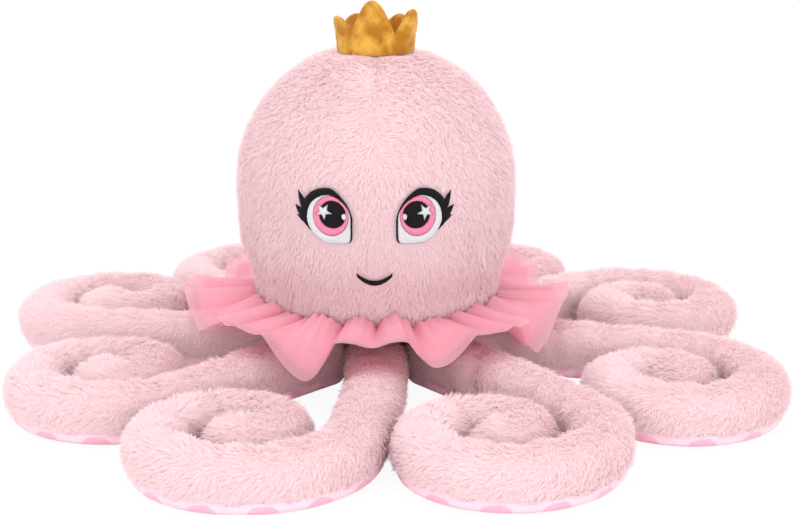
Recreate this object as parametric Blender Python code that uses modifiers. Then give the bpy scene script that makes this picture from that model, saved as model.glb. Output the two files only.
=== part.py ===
"""Plush octopus with a round stuffed head, a gathered tulle ruffle, a soft crown and eight curled arms.

Metres, +Z up. The origin is the middle of the underside, the face looks along -Y, and every arm
lies curled on the ground. Each arm hangs on an empty that stands on its root seam's axis.
"""

import math

import bmesh
import bpy
from mathutils import Matrix, Vector

# Gap that neighbouring pieces keep
CLEARANCE = 0.0004

# Arms
ARM_COUNT = 8
ARM_WIDTH = 0.044
ARM_HEIGHT = 0.042
ARM_FULLNESS = 2.3  # 2 is an ellipse, more is squarer
ARM_PLUSH = 0.0025
SATIN_THICKNESS = 0.0015
SEAM_ANGLE = 28.0  # how far below the widest line plush meets satin
SOLE_FLAT = 0.60  # share of the width on which the underside lies flat
TIP_SCALE = 0.91  # the arm's size at its tip
ROOT_GAP = 0.00345  # between one arm's root and the next
HINGE_RADIUS = (ARM_WIDTH + ROOT_GAP) / (2 * math.sin(math.pi / ARM_COUNT))
LEAD_STEPS, CURL_STEPS = 3, 12
CURL_END = 0.0240  # curl radius at the tip
CURL_TURN = 390.0
CURL_GAP = 0.0013  # between the turns of a curl
ARM_CURL = CURL_END + (ARM_WIDTH + CURL_GAP) * CURL_TURN / 360  # radius at which a curl starts
CURL_SPREAD = 0.84  # a curl's half width as a share of that radius
NEIGHBOUR_GAP = 0.0030  # between one arm's curl and the next
CURL_ROOM = 2 * CURL_SPREAD * ARM_CURL + ARM_WIDTH + NEIGHBOUR_GAP
ARM_LEAD = CURL_ROOM / (2 * math.sin(math.pi / ARM_COUNT)) - HINGE_RADIUS  # the run before the curl
ROOT_RINGS = (5.0, 35.0, 62.0)  # rings of the rounded root, 90 being its full size
TIP_RINGS = (58.0, 30.0, 7.0)
# How each arm lies, anticlockwise from the front: the turn of its root, its lead as a share of
# ARM_LEAD, the bend in that lead, and its curl as a share of ARM_CURL
ARM_LIES = (
    (2.0, 1.115, 11.0, 1.10),
    (-8.0, 1.12, 5.0, 1.07),
    (-11.0, 1.13, 7.0, 1.085),
    (-9.0, 1.07, 2.5, 1.01),
    (-9.0, 0.92, 4.0, 1.0),
    (4.0, 0.895, 4.0, 1.005),
    (-2.4, 1.035, 5.5, 1.015),
    (4.0, 0.90, 1.0, 1.015),
)

# Base: a satin cup that closes the underside between the arms, with the filling standing in it
BASE_GAP = 0.0007  # between its wall and the arms' roots
BASE_RADIUS = HINGE_RADIUS - ARM_WIDTH / 2 - BASE_GAP
ARM_CLEARANCE = 0.0010  # between the arms and the height at which the head's underside starts
BASE_HEIGHT = ARM_HEIGHT + ARM_CLEARANCE

# Head: four plush panels round a ball of filling, fuller below than above
HEAD_RADIUS = 0.106
HEAD_RISE = 0.113  # from the widest ring to the top
HEAD_DEPTH = 0.115  # from the widest ring to where the lower curve would close
UPPER_FULLNESS = 2.25
LOWER_FULLNESS = 3.2
NECK_RADIUS = 0.0808  # where the lower curve stops and the underside turns in
NECK_RISE = 0.0070  # from the cup's rim to the neck
NECK_HEIGHT = BASE_HEIGHT + NECK_RISE
NECK_SHARE = (1 - (NECK_RADIUS / HEAD_RADIUS) ** LOWER_FULLNESS) ** (1 / LOWER_FULLNESS)
HEAD_MIDDLE = NECK_HEIGHT + NECK_SHARE * HEAD_DEPTH  # height of the widest ring
PLUSH_THICKNESS = 0.003
HEAD_PANELS = ("face_panel", "right_side_panel", "back_panel", "left_side_panel")
PANEL_STEPS = 8
RINGS_ABOVE, RINGS_BELOW = 7, 4
POLE_ANGLE = 89.5  # how near to the top the panels reach, in degrees from the widest ring

# Ruffle: two layers of tulle gathered on a tape round the neck
TAPE_RISE = 0.0060  # from the neck to its lower edge
TAPE_HEIGHT = NECK_HEIGHT + TAPE_RISE
TAPE_WIDTH = 0.0060
TAPE_THICKNESS = 0.0012
RUFFLE_RAISE = 0.0040  # from there to where the upper layer leaves the tape
RUFFLE_HEIGHT = TAPE_HEIGHT + RUFFLE_RAISE
RUFFLE_WIDTH = 0.064
TULLE_THICKNESS = 0.0008
LAYER_STEP = 0.0030
RUFFLE_RISE = 0.0105  # how far the hem lifts over an arm
RUFFLE_DROP = 0.036  # how far it hangs between two arms
RUFFLE_TUCK = 0.014  # how far a hanging fold draws in
# How deep each fold hangs as a share of that, anticlockwise from the one beside the front arm
FOLD_SHARES = (0.6, 0.9, 0.8, 1.0, 0.9, 0.8, 0.6, 1.0)
FOLD_MARGIN = 0.006  # between a hanging fold and the arm beside it
SMALL_FOLD = 0.0024
SMALL_FOLDS = 22
RUFFLE_STEPS, RUFFLE_ROWS = 96, 3

# Crown: a padded velour band with five points, and its lining
CROWN_RADIUS = 0.0300
CROWN_BAND = 0.0155  # height of the notches
CROWN_POINTS = 5
CROWN_PEAKS = (0.0425, 0.0340, 0.0270, 0.0270, 0.0285)  # each point's height, front one first
CROWN_TURN = -94.0  # bearing of the front point
CROWN_FULLNESS = 0.75  # 1 is a plain wave, less gives broad points and sharp notches
CROWN_FLARE = 0.0030  # how far the front point's tip leans out
VELOUR_THICKNESS = 0.0030
LINING_THICKNESS = 0.0015
LINING_DROP = 0.0012  # how far the lining stays below the velour's edge
CROWN_STEPS, CROWN_ROWS = 40, 4

# Embroidery: flat fields of stitches on the face panel, measured from the centre of an iris
THREAD_THICKNESS = 0.0010
EYE_BEARING = 17.23  # from the middle plane round to the centre of an iris, in degrees
EYE_SPACING = HEAD_RADIUS * math.sin(math.radians(EYE_BEARING))
EYE_RISE = 0.0020  # above the widest ring
EYE_HEIGHT = HEAD_MIDDLE + EYE_RISE
IRIS_SIZE = (0.0129, 0.0149)
PUPIL_SIZE = (0.00965, 0.0101)
PUPIL_CENTRE = (0.0011, 0.0010)
STAR_CENTRE = (-0.0055, 0.0029)
STAR_TIP, STAR_WAIST = 0.0065, 0.0028
STAR_TURN = 60.0
GLINT_SIZE = (0.0018, 0.0026)
GLINT_CENTRE = (0.0094, -0.0002)
# The eye's opening and the lid round it: their centre, then how far they reach and how full
# their corners are, in the order inner, upper, outer, lower
LID_CENTRE = (-0.0019, -0.0028)
OPENING_REACH = (0.0161, 0.0179, 0.0161, 0.0180)
OPENING_FULLNESS = (1.85, 2.2, 1.7, 5.0)
LID_REACH = (0.0178, 0.0236, 0.0216, 0.0178)
LID_FULLNESS = (1.55, 2.3, 1.2, 5.0)
LASHES = 3
LASH_START, LASH_SPACING = 136.0, 18.5  # where the uppermost lash starts on the lid
LASH_LENGTH, LASH_SHORTENING = 0.0104, 0.0028
LASH_LEAN, LASH_FAN = 110.0, 17.0  # which way the uppermost points, and each next one turns
MOUTH_WIDTH = 0.0262
MOUTH_DROP = 0.0427  # its corners, below the widest ring
MOUTH_HEIGHT = HEAD_MIDDLE - MOUTH_DROP
MOUTH_SAG = 0.0078
MOUTH_STITCH, MOUTH_END = 0.0046, 0.0010  # its width in the middle and at its ends

# Material colours
PLUSH_PINK = (0.88, 0.60, 0.63)
TULLE_PINK = (0.90, 0.44, 0.53)
SATIN_PINK = (0.90, 0.62, 0.71)
FILLING_WHITE = (0.87, 0.86, 0.84)
CROWN_GOLD = (0.62, 0.33, 0.06)
THREAD_BLACK = (0.015, 0.013, 0.016)
THREAD_ROSE = (0.85, 0.27, 0.42)
THREAD_WHITE = (0.82, 0.84, 0.86)


def clear_scene():
    for item in list(bpy.data.objects):
        bpy.data.objects.remove(item)


def make_collection(name):
    collection = bpy.data.collections.new(name)
    bpy.context.scene.collection.children.link(collection)
    return collection


def make_material(name, colour, roughness):
    material = bpy.data.materials.new(name)
    material.use_nodes = True
    shader = material.node_tree.nodes["Principled BSDF"]
    shader.inputs["Base Color"].default_value = (*colour, 1)
    shader.inputs["Roughness"].default_value = roughness
    return material


def add_object(name, data, material, parent=None):
    item = bpy.data.objects.new(name, data)
    data.materials.append(material)
    toy.objects.link(item)
    item.parent = parent
    return item


def add_guide(name, data):
    item = bpy.data.objects.new(name, data)
    item.hide_render = True
    item.display_type = "WIRE"
    guides.objects.link(item)
    return item


def turned(name, outline, material, steps):
    """Turns a profile of (radius, height) points all the way round the upright axis."""
    mesh = bpy.data.meshes.new(name)
    edges = [(i, i + 1) for i in range(len(outline) - 1)]
    if outline[0][0] > 0:
        edges.append((len(outline) - 1, 0))
    mesh.from_pydata([(radius, 0, height) for radius, height in outline], edges, [])
    item = add_object(name, mesh, material)
    screw = item.modifiers.new("turn", "SCREW")
    screw.axis = "Z"
    screw.steps = screw.render_steps = steps
    screw.use_merge_vertices = True
    screw.merge_threshold = 0.00001
    return item


def swept_panel(name, outline, start, sweep):
    """Sweeps a closed outline of (radius, height) points part of the way round the upright axis."""
    bm = bmesh.new()
    turn = Matrix.Rotation(start, 3, "Z")
    face = bm.faces.new([bm.verts.new(turn @ Vector((r, 0, z))) for r, z in outline])
    bmesh.ops.spin(
        bm,
        geom=[face, *face.edges, *face.verts],
        cent=(0, 0, 0),
        axis=(0, 0, 1),
        angle=sweep,
        steps=PANEL_STEPS,
    )
    bmesh.ops.recalc_face_normals(bm, faces=bm.faces)
    mesh = bpy.data.meshes.new(name)
    bm.to_mesh(mesh)
    bm.free()
    mesh.shade_smooth()
    mesh.set_sharp_from_angle(angle=math.radians(40))
    return mesh


def superellipse(angle, fullness):
    """A point of a unit superellipse, with the angle in degrees."""
    turn = math.radians(angle)
    across = math.copysign(abs(math.cos(turn)) ** (2 / fullness), math.cos(turn))
    up = math.copysign(abs(math.sin(turn)) ** (2 / fullness), math.sin(turn))
    return across, up


def head_point(angle, grow):
    """A point of the head's side, grown outwards. The angle is 90 at the top and 0 at the widest ring."""
    reach, fullness = (HEAD_RISE, UPPER_FULLNESS) if angle > 0 else (HEAD_DEPTH, LOWER_FULLNESS)
    across, up = superellipse(angle, fullness)
    return (HEAD_RADIUS + grow) * across, HEAD_MIDDLE + (reach + grow) * up


def head_radius(height):
    """The radius of the head below its widest ring."""
    share = (HEAD_MIDDLE - height) / HEAD_DEPTH
    return HEAD_RADIUS * (1 - share**LOWER_FULLNESS) ** (1 / LOWER_FULLNESS)


def head_top(radius):
    """The height of the head's upper side at a radius."""
    share = 1 - (radius / HEAD_RADIUS) ** UPPER_FULLNESS
    return HEAD_MIDDLE + HEAD_RISE * share ** (1 / UPPER_FULLNESS)


def head_profile(grow, first=POLE_ANGLE):
    """The head's side from near the top down to the neck."""
    neck = -math.degrees(math.asin(NECK_SHARE ** (LOWER_FULLNESS / 2)))
    angles = [first * (1 - i / RINGS_ABOVE) for i in range(RINGS_ABOVE)]
    angles += [neck * i / RINGS_BELOW for i in range(RINGS_BELOW + 1)]
    return [head_point(angle, grow) for angle in angles]


def panel_range(index):
    """Where a head panel starts and how far round it reaches, with a gap at each seam."""
    quarter = math.tau / len(HEAD_PANELS)
    gap = CLEARANCE / HEAD_RADIUS
    return index * quarter - math.pi / 2 - quarter / 2 + gap / 2, quarter - gap


def make_head():
    edge = BASE_RADIUS + CLEARANCE
    outer = [*head_profile(0), (edge, BASE_HEIGHT + CLEARANCE)]
    inner = [*head_profile(-PLUSH_THICKNESS), (edge, BASE_HEIGHT + CLEARANCE + PLUSH_THICKNESS)]
    for index, name in enumerate(HEAD_PANELS):
        add_object(name, swept_panel(name, outer + inner[::-1], *panel_range(index)), plush)

    inset = PLUSH_THICKNESS + CLEARANCE
    floor = SATIN_THICKNESS + CLEARANCE
    foot = BASE_RADIUS - floor
    side = head_profile(-inset, 90.0)
    top = [(0, side[0][1]), *side[1:], (foot, BASE_HEIGHT + CLEARANCE + inset)]
    turned("head_filling", [*top, (foot, floor), (0, floor)], filling, len(HEAD_PANELS) * PANEL_STEPS)

    hollow = BASE_RADIUS - SATIN_THICKNESS
    cup = [(0, SATIN_THICKNESS), (hollow, SATIN_THICKNESS), (hollow, BASE_HEIGHT)]
    cup += [(BASE_RADIUS, BASE_HEIGHT), (BASE_RADIUS, 0), (0, 0)]
    turned("base_panel", cup, satin, 48)


def arm_bearing(index):
    return math.tau * index / ARM_COUNT - math.pi / 2


def arm_lie(index):
    return ARM_LIES[index % len(ARM_LIES)]


def arm_route(lie):
    """An arm's centre line from its root seam, in its own frame with X outwards.

    It is a run of arcs laid end to end, each as (x, y, heading, share of the whole length).
    """
    swing, lead, bend, curl = lie
    arcs = [(lead * ARM_LEAD / LEAD_STEPS, math.radians(bend) / LEAD_STEPS)] * LEAD_STEPS
    turn = math.radians(CURL_TURN) / CURL_STEPS
    for i in range(CURL_STEPS):
        radius = curl * ARM_CURL + (CURL_END - curl * ARM_CURL) * (i + 0.5) / CURL_STEPS
        arcs.append((radius * turn, turn))
    whole = sum(length for length, _ in arcs)
    heading = math.radians(swing)
    x = y = gone = 0.0
    route = [(x, y, heading, 0.0)]
    for length, turn in arcs:
        chord = length * math.sin(turn / 2) / (turn / 2)
        x += chord * math.cos(heading - turn / 2)
        y += chord * math.sin(heading - turn / 2)
        heading -= turn
        gone += length
        route.append((x, y, heading, gone / whole))
    return route


def arm_rings(lie):
    """The rings on which an arm's skins are hung, each as (x, y, z, scale), rounded at both ends."""
    route = arm_route(lie)
    rings = []
    for x, y, heading, share in route:
        scale = 1 + (TIP_SCALE - 1) * share
        rings.append((x, y, (scale - 1) * ARM_HEIGHT / 2, scale))

    def rounded(end, angles, way):
        x, y, heading, _ = end
        scale, height = (1.0, 0.0) if way < 0 else (TIP_SCALE, (TIP_SCALE - 1) * ARM_HEIGHT / 2)
        found = []
        for angle in angles:
            out = way * math.cos(math.radians(angle)) * scale * ARM_WIDTH / 2
            size = scale * math.sin(math.radians(angle))
            found.append((x + out * math.cos(heading), y + out * math.sin(heading), height, size))
        return found

    return rounded(route[0], ROOT_RINGS, -1) + rings + rounded(route[-1], TIP_RINGS, 1)


def section_point(angle, grow):
    across, up = superellipse(angle, ARM_FULLNESS)
    return (ARM_WIDTH / 2 + grow) * across, (ARM_HEIGHT / 2 + grow) * up


def sole_point(side, grow):
    return side * SOLE_FLAT * (ARM_WIDTH / 2 + grow), -(ARM_HEIGHT / 2 + grow)


def arm_sections():
    """The cross sections of an arm's plush, its satin sole and its filling."""
    seam = -SEAM_ANGLE
    gap = math.degrees(CLEARANCE / (ARM_WIDTH / 2))
    span = 180 + 2 * SEAM_ANGLE
    skin = [section_point(seam + span * i / 6, 0) for i in range(7)]
    skin += [section_point(seam + span * i / 4, -ARM_PLUSH) for i in range(4, -1, -1)]
    sole = []
    for grow, way in ((0, 1), (-SATIN_THICKNESS, -1)):
        edge = [section_point(seam - gap, grow), sole_point(1, grow)]
        edge += [sole_point(-1, grow), section_point(180 - seam + gap, grow)]
        sole += edge[::way]
    core = [section_point(seam + span * i / 4, -ARM_PLUSH - CLEARANCE) for i in range(5)]
    core += [sole_point(side, -SATIN_THICKNESS - CLEARANCE) for side in (-1, 1)]
    return skin[::-1], sole, core[::-1]


def section_guide(name, points):
    curve = bpy.data.curves.new(name, "CURVE")
    curve.dimensions = "2D"
    spline = curve.splines.new("POLY")
    spline.points.add(len(points) - 1)
    for point, (across, up) in zip(spline.points, points):
        point.co = (across, up, 0, 1)
    spline.use_cyclic_u = True
    return add_guide(name, curve)


def hung_skin(name, rings, section, material, parent):
    """Hangs a cross section on an arm's rings."""
    curve = bpy.data.curves.new(name, "CURVE")
    curve.dimensions = "3D"
    curve.twist_mode = "Z_UP"
    curve.bevel_mode = "OBJECT"
    curve.bevel_object = section
    curve.use_fill_caps = True
    spline = curve.splines.new("POLY")
    spline.points.add(len(rings) - 1)
    for point, (x, y, z, size) in zip(spline.points, rings):
        point.co = (x, y, z, 1)
        point.radius = size
    return add_object(name, curve, material, parent)


def make_arms():
    skin, sole, core = arm_sections()
    skin_guide = section_guide("arm_plush_section", skin)
    sole_guide = section_guide("arm_sole_section", sole)
    core_guide = section_guide("arm_filling_section", core)
    for index in range(ARM_COUNT):
        name = f"arm_{index + 1}"
        bearing = arm_bearing(index)
        hinge = bpy.data.objects.new(f"{name}_hinge", None)
        hinge.empty_display_size = ARM_WIDTH / 2
        reach = HINGE_RADIUS * math.cos(bearing), HINGE_RADIUS * math.sin(bearing)
        hinge.location = (*reach, ARM_HEIGHT / 2)
        hinge.rotation_euler.z = bearing
        guides.objects.link(hinge)
        rings = arm_rings(arm_lie(index))
        hung_skin(f"{name}_plush", rings, skin_guide, plush, hinge)
        hung_skin(f"{name}_sole", rings, sole_guide, satin, hinge)
        hung_skin(f"{name}_filling", rings[1:-1], core_guide, filling, hinge)


def hem_bearing(index, reach):
    """The bearing at which an arm's centre line passes out from under the hem."""
    turn = Matrix.Rotation(arm_bearing(index), 2)
    route = arm_route(arm_lie(index))
    last = turn @ Vector((HINGE_RADIUS, 0))
    for x, y, _, _ in route[1:]:
        here = turn @ Vector((HINGE_RADIUS + x, y))
        if here.length > reach:
            crossing = last.lerp(here, (reach - last.length) / (here.length - last.length))
            return math.atan2(crossing.y, crossing.x)
        last = here
    return arm_bearing(index)


def hanging_folds(reach):
    """The folds that hang between the arms, each as its bearing, half its width and its share."""
    bearings = [hem_bearing(index, reach) for index in range(ARM_COUNT)]
    folds = []
    for index, bearing in enumerate(bearings):
        between = (bearings[(index + 1) % ARM_COUNT] - bearing) % math.tau
        half = between / 2 - (ARM_WIDTH / 2 + FOLD_MARGIN) / reach
        folds.append((bearing + between / 2, half, FOLD_SHARES[index % len(FOLD_SHARES)]))
    return folds


def ring_sheet(name, rows, steps, point, thickness, material):
    """A sheet that closes on itself round the upright axis, given thickness on both sides."""
    spots = [point(j / rows, math.tau * i / steps) for j in range(rows + 1) for i in range(steps)]
    faces = []
    for j in range(rows):
        for i in range(steps):
            after = (i + 1) % steps
            faces.append((j * steps + i, j * steps + after, (j + 1) * steps + after, (j + 1) * steps + i))
    mesh = bpy.data.meshes.new(name)
    mesh.from_pydata(spots, [], faces)
    mesh.shade_smooth()
    item = add_object(name, mesh, material)
    solid = item.modifiers.new("thickness", "SOLIDIFY")
    solid.thickness = thickness
    solid.offset = 0
    return item


def make_ruffle():
    top = TAPE_HEIGHT + TAPE_WIDTH
    inner = [(head_radius(height) + CLEARANCE, height) for height in (top, TAPE_HEIGHT)]
    outer = [(radius + TAPE_THICKNESS, height) for radius, height in inner]
    steps = len(HEAD_PANELS) * PANEL_STEPS
    turned("ruffle_tape", [inner[0], *outer, inner[1]], tulle, steps)

    tape_gap = 2 * CLEARANCE + TAPE_THICKNESS
    folds = hanging_folds(head_radius(RUFFLE_HEIGHT) + tape_gap + RUFFLE_WIDTH)
    for name, drop in (("ruffle_upper_layer", 0), ("ruffle_under_layer", LAYER_STEP)):

        def point(share, bearing, drop=drop):
            root = head_radius(RUFFLE_HEIGHT - drop) + tape_gap
            hang = 0.0
            for middle, half, depth in folds:
                away = abs((bearing - middle + math.pi) % math.tau - math.pi)
                hang += depth * math.cos(math.pi / 2 * min(1, away / half)) ** 2
            ripple = SMALL_FOLD * math.sin(SMALL_FOLDS * bearing) * (1 - hang)
            reach = root + share * (RUFFLE_WIDTH - RUFFLE_TUCK * hang)
            fall = RUFFLE_RISE - (RUFFLE_RISE + RUFFLE_DROP) * hang
            height = RUFFLE_HEIGHT - drop + share**1.5 * fall + share * ripple
            return reach * math.cos(bearing), reach * math.sin(bearing), height

        ring_sheet(name, RUFFLE_ROWS, RUFFLE_STEPS, point, TULLE_THICKNESS, tulle)


def crown_edge(bearing):
    """The height of the crown's edge above its foot."""
    spacing = math.tau / CROWN_POINTS
    point = round(bearing / spacing) % CROWN_POINTS
    peak = CROWN_PEAKS[point % len(CROWN_PEAKS)]
    wave = (1 + math.cos(math.tau * bearing / spacing)) / 2
    return CROWN_BAND + (peak - CROWN_BAND) * wave**CROWN_FULLNESS


def make_crown():
    inside = CROWN_RADIUS - VELOUR_THICKNESS - CLEARANCE - LINING_THICKNESS
    foot = head_top(inside) + CLEARANCE
    skins = (
        ("crown_velour", CROWN_RADIUS - VELOUR_THICKNESS / 2, VELOUR_THICKNESS, 0, velour),
        ("crown_lining", inside + LINING_THICKNESS / 2, LINING_THICKNESS, LINING_DROP, lining),
    )
    for name, radius, thickness, drop, material in skins:

        def point(share, bearing, radius=radius, drop=drop):
            height = share * (crown_edge(bearing) - drop)
            reach = radius + CROWN_FLARE * (height / CROWN_PEAKS[0]) ** 2
            turn = bearing + math.radians(CROWN_TURN)
            return reach * math.cos(turn), reach * math.sin(turn), foot + height

        ring_sheet(name, CROWN_ROWS, CROWN_STEPS, point, thickness, material)


def ellipse(centre, size, grow=0.0, count=20):
    turns = [math.tau * i / count for i in range(count)]
    return [
        (centre[0] + (size[0] + grow) * math.cos(t), centre[1] + (size[1] + grow) * math.sin(t))
        for t in turns
    ]


def star(grow=0.0):
    points = []
    for i in range(10):
        turn = math.radians(STAR_TURN + 36 * i)
        # A tip needs more growth than a waist, for its sides to move out as far
        reach = STAR_TIP + 2.4 * grow if i % 2 == 0 else STAR_WAIST + 1.3 * grow
        points.append((STAR_CENTRE[0] + reach * math.cos(turn), STAR_CENTRE[1] + reach * math.sin(turn)))
    return points


def lid_point(angle, reach, fullness, grow=0.0):
    """A point round the eye. Each quarter has its own reach and fullness."""
    quarter = int(angle % 360 // 90)
    across, up = superellipse(angle, fullness[quarter])
    side = reach[0] if across > 0 else reach[2]
    height = reach[1] if up > 0 else reach[3]
    return LID_CENTRE[0] + across * (side + grow), LID_CENTRE[1] + up * (height + grow)


def opening(grow=0.0):
    return [lid_point(10 * i, OPENING_REACH, OPENING_FULLNESS, grow) for i in range(36)]


def lid():
    """The lid's outline with its lashes, anticlockwise from the lower inner corner."""
    outline = [lid_point(angle, LID_REACH, LID_FULLNESS) for angle in range(-84, int(LASH_START), 11)]
    outline.append(lid_point(LASH_START, LID_REACH, LID_FULLNESS))
    for i in range(LASHES):
        angle = LASH_START + i * LASH_SPACING
        root = lid_point(angle + LASH_SPACING / 2, LID_REACH, LID_FULLNESS)
        lean = math.radians(LASH_LEAN + i * LASH_FAN)
        length = LASH_LENGTH - i * LASH_SHORTENING
        outline.append((root[0] + length * math.cos(lean), root[1] + length * math.sin(lean)))
        outline.append(lid_point(angle + LASH_SPACING, LID_REACH, LID_FULLNESS))
    last = LASH_START + LASHES * LASH_SPACING
    rest = (270 - last) / 6
    return outline + [lid_point(last + rest * i, LID_REACH, LID_FULLNESS) for i in range(1, 6)]


def mouth():
    count = 12
    lower, upper = [], []
    for i in range(count + 1):
        along = 2 * i / count - 1
        middle = MOUTH_SAG * (along**2 - 1)
        half = (MOUTH_END + (MOUTH_STITCH - MOUTH_END) * (1 - along**2) ** 0.5) / 2
        lower.append((along * MOUTH_WIDTH / 2, middle - half))
        upper.append((along * MOUTH_WIDTH / 2, middle + half))
    return lower + upper[::-1]


def stamp(name, outline, side, centre):
    """An upright block with the given outline, which stands through the face."""
    bm = bmesh.new()
    near, far = -HEAD_RADIUS * 1.3, -HEAD_RADIUS * 0.4
    spots = [bm.verts.new((side * (centre[0] + x), near, centre[1] + z)) for x, z in outline]
    face = bm.faces.new(spots)
    made = bmesh.ops.extrude_face_region(bm, geom=[face])["geom"]
    moved = [item for item in made if isinstance(item, bmesh.types.BMVert)]
    bmesh.ops.translate(bm, verts=moved, vec=(0, far - near, 0))
    bmesh.ops.recalc_face_normals(bm, faces=bm.faces)
    mesh = bpy.data.meshes.new(name)
    bm.to_mesh(mesh)
    bm.free()
    return add_guide(name, mesh)


def stitched(name, outlines, holes, material, side, centre):
    """Stitches on the face panel that fill what their outlines share, with the fields in it left out."""
    skin = head_profile(CLEARANCE + THREAD_THICKNESS) + head_profile(CLEARANCE)[::-1]
    item = add_object(name, swept_panel(name, skin, *panel_range(0)), material)
    for index, outline in enumerate(outlines):
        keep = item.modifiers.new(f"outline_{index}", "BOOLEAN")
        keep.operation = "INTERSECT"
        keep.object = stamp(f"{name}_outline_{index}", outline, side, centre)
    for index, hole in enumerate(holes):
        cut = item.modifiers.new(f"hole_{index}", "BOOLEAN")
        cut.operation = "DIFFERENCE"
        cut.object = stamp(f"{name}_hole_{index}", hole, side, centre)
    for modifier in item.modifiers:
        modifier.solver = "EXACT"


def make_face():
    centre = (-EYE_SPACING, EYE_HEIGHT)
    iris, pupil = ellipse((0, 0), IRIS_SIZE), ellipse(PUPIL_CENTRE, PUPIL_SIZE)
    lights = [star(CLEARANCE), ellipse(GLINT_CENTRE, GLINT_SIZE, CLEARANCE, 12)]
    wide_iris = ellipse((0, 0), IRIS_SIZE, CLEARANCE)
    wide_pupil = ellipse(PUPIL_CENTRE, PUPIL_SIZE, CLEARANCE)
    fields = (
        ("lashes", [lid()], [opening(CLEARANCE)], black),
        ("white", [opening()], [wide_iris], white),
        ("iris", [iris, opening()], [wide_pupil, *lights], rose),
        ("pupil", [pupil], lights, black),
        ("star", [star()], [], white),
        ("glint", [ellipse(GLINT_CENTRE, GLINT_SIZE, 0, 12)], [], white),
    )
    for eye, side in (("right_eye", 1), ("left_eye", -1)):
        for name, outlines, holes, material in fields:
            stitched(f"{eye}_{name}", outlines, holes, material, side, centre)
    stitched("mouth", [mouth()], [], black, 1, (0, MOUTH_HEIGHT))


clear_scene()
toy = make_collection("Plush octopus")
guides = make_collection("Guides")
plush = make_material("pink plush", PLUSH_PINK, 0.9)
tulle = make_material("rose tulle", TULLE_PINK, 0.7)
satin = make_material("pink satin", SATIN_PINK, 0.4)
filling = make_material("white filling", FILLING_WHITE, 0.95)
velour = make_material("gold velour", CROWN_GOLD, 0.6)
lining = make_material("gold lining", CROWN_GOLD, 0.8)
black = make_material("black thread", THREAD_BLACK, 0.5)
rose = make_material("rose thread", THREAD_ROSE, 0.5)
white = make_material("white thread", THREAD_WHITE, 0.5)

make_head()
make_arms()
make_ruffle()
make_crown()
make_face()
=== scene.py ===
# %% [markdown]
# # A plush octopus
#
# A stuffed toy is a few skins of cloth round a filling. This one has a round head of long-pile
# plush, an embroidered face, a soft crown, a ruffle of tulle round the neck, and eight arms of
# plush with satin soles. The CAD part gives every piece its place. The cells below give each
# one its cloth, and most of the work is the pile, which is made as real strands.

# %% Load the CAD part as a fixed frame
import math

import bmesh
import bpy
import numpy as np
from mathutils import Matrix, Vector, geometry, kdtree, noise
from mathutils.bvhtree import BVHTree


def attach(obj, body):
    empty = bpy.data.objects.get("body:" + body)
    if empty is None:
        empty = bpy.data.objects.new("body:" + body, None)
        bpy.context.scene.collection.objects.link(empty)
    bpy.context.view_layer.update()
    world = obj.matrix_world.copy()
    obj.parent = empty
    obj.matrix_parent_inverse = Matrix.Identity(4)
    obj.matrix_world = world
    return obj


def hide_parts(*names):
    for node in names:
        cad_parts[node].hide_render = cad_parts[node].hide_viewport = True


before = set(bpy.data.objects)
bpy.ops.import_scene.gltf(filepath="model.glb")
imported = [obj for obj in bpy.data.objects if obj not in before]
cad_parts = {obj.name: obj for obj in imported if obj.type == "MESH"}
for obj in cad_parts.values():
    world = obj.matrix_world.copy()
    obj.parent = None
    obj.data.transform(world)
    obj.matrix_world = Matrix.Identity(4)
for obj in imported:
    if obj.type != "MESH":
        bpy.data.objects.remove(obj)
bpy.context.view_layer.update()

# %% [markdown]
# ## Camera, floor and light
#
# The toy was photographed from a little above with a long lens, on pure white. A long lens
# keeps the near arms from looking too large. The light is a large soft one from above, a weak
# one from low in front and a white world, so that a colour renders about as it is written.

# %% Set up the camera
EYE_POINT = (0.019, -1.3, 0.415)
VIEW_DOWN = 14.0  # degrees below the horizon
PICTURE_WIDTH, FOCAL_LENGTH = 800, 1650  # both in pixels

view = bpy.data.cameras.new("view")
view.sensor_width = 36
view.lens = FOCAL_LENGTH * view.sensor_width / PICTURE_WIDTH
camera = bpy.data.objects.new("camera", view)
camera.location = EYE_POINT
camera.rotation_euler = (math.radians(90 - VIEW_DOWN), 0, 0)
bpy.context.scene.collection.objects.link(camera)
bpy.context.scene.camera = camera
bpy.context.scene.view_settings.view_transform = "Standard"
print("lens:", round(view.lens, 2), "mm")

# %% [markdown]
# ## A short way to write shader maths
#
# A shader is a sum of small nodes. Wrapping a socket in a class with Python's operators makes
# each of them one sign, so a pattern can be read as the formula that it is.

# %% Define values that add up as nodes


class Value:
    """One output of a node. Arithmetic on it adds Math nodes to its finish."""

    def __init__(self, finish, socket):
        self.finish, self.socket = finish, socket

    def math(self, operation, *operands):
        return self.finish.node("ShaderNodeMath", {"operation": operation}, *operands)

    def __add__(self, other):
        return self.math("ADD", self, other)

    def __sub__(self, other):
        return self.math("SUBTRACT", self, other)

    def __rsub__(self, other):
        return self.math("SUBTRACT", other, self)

    def __mul__(self, other):
        return self.math("MULTIPLY", self, other)

    def __truediv__(self, other):
        return self.math("DIVIDE", self, other)

    def __pow__(self, other):
        return self.math("POWER", self, other)

    __radd__, __rmul__ = __add__, __mul__

    def sine(self):
        return self.math("SINE", self)

    def fraction(self):
        return self.math("FRACT", self)

    def clipped(self):
        return self.math("MINIMUM", self.math("MAXIMUM", self, 0.0), 1.0)


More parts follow.
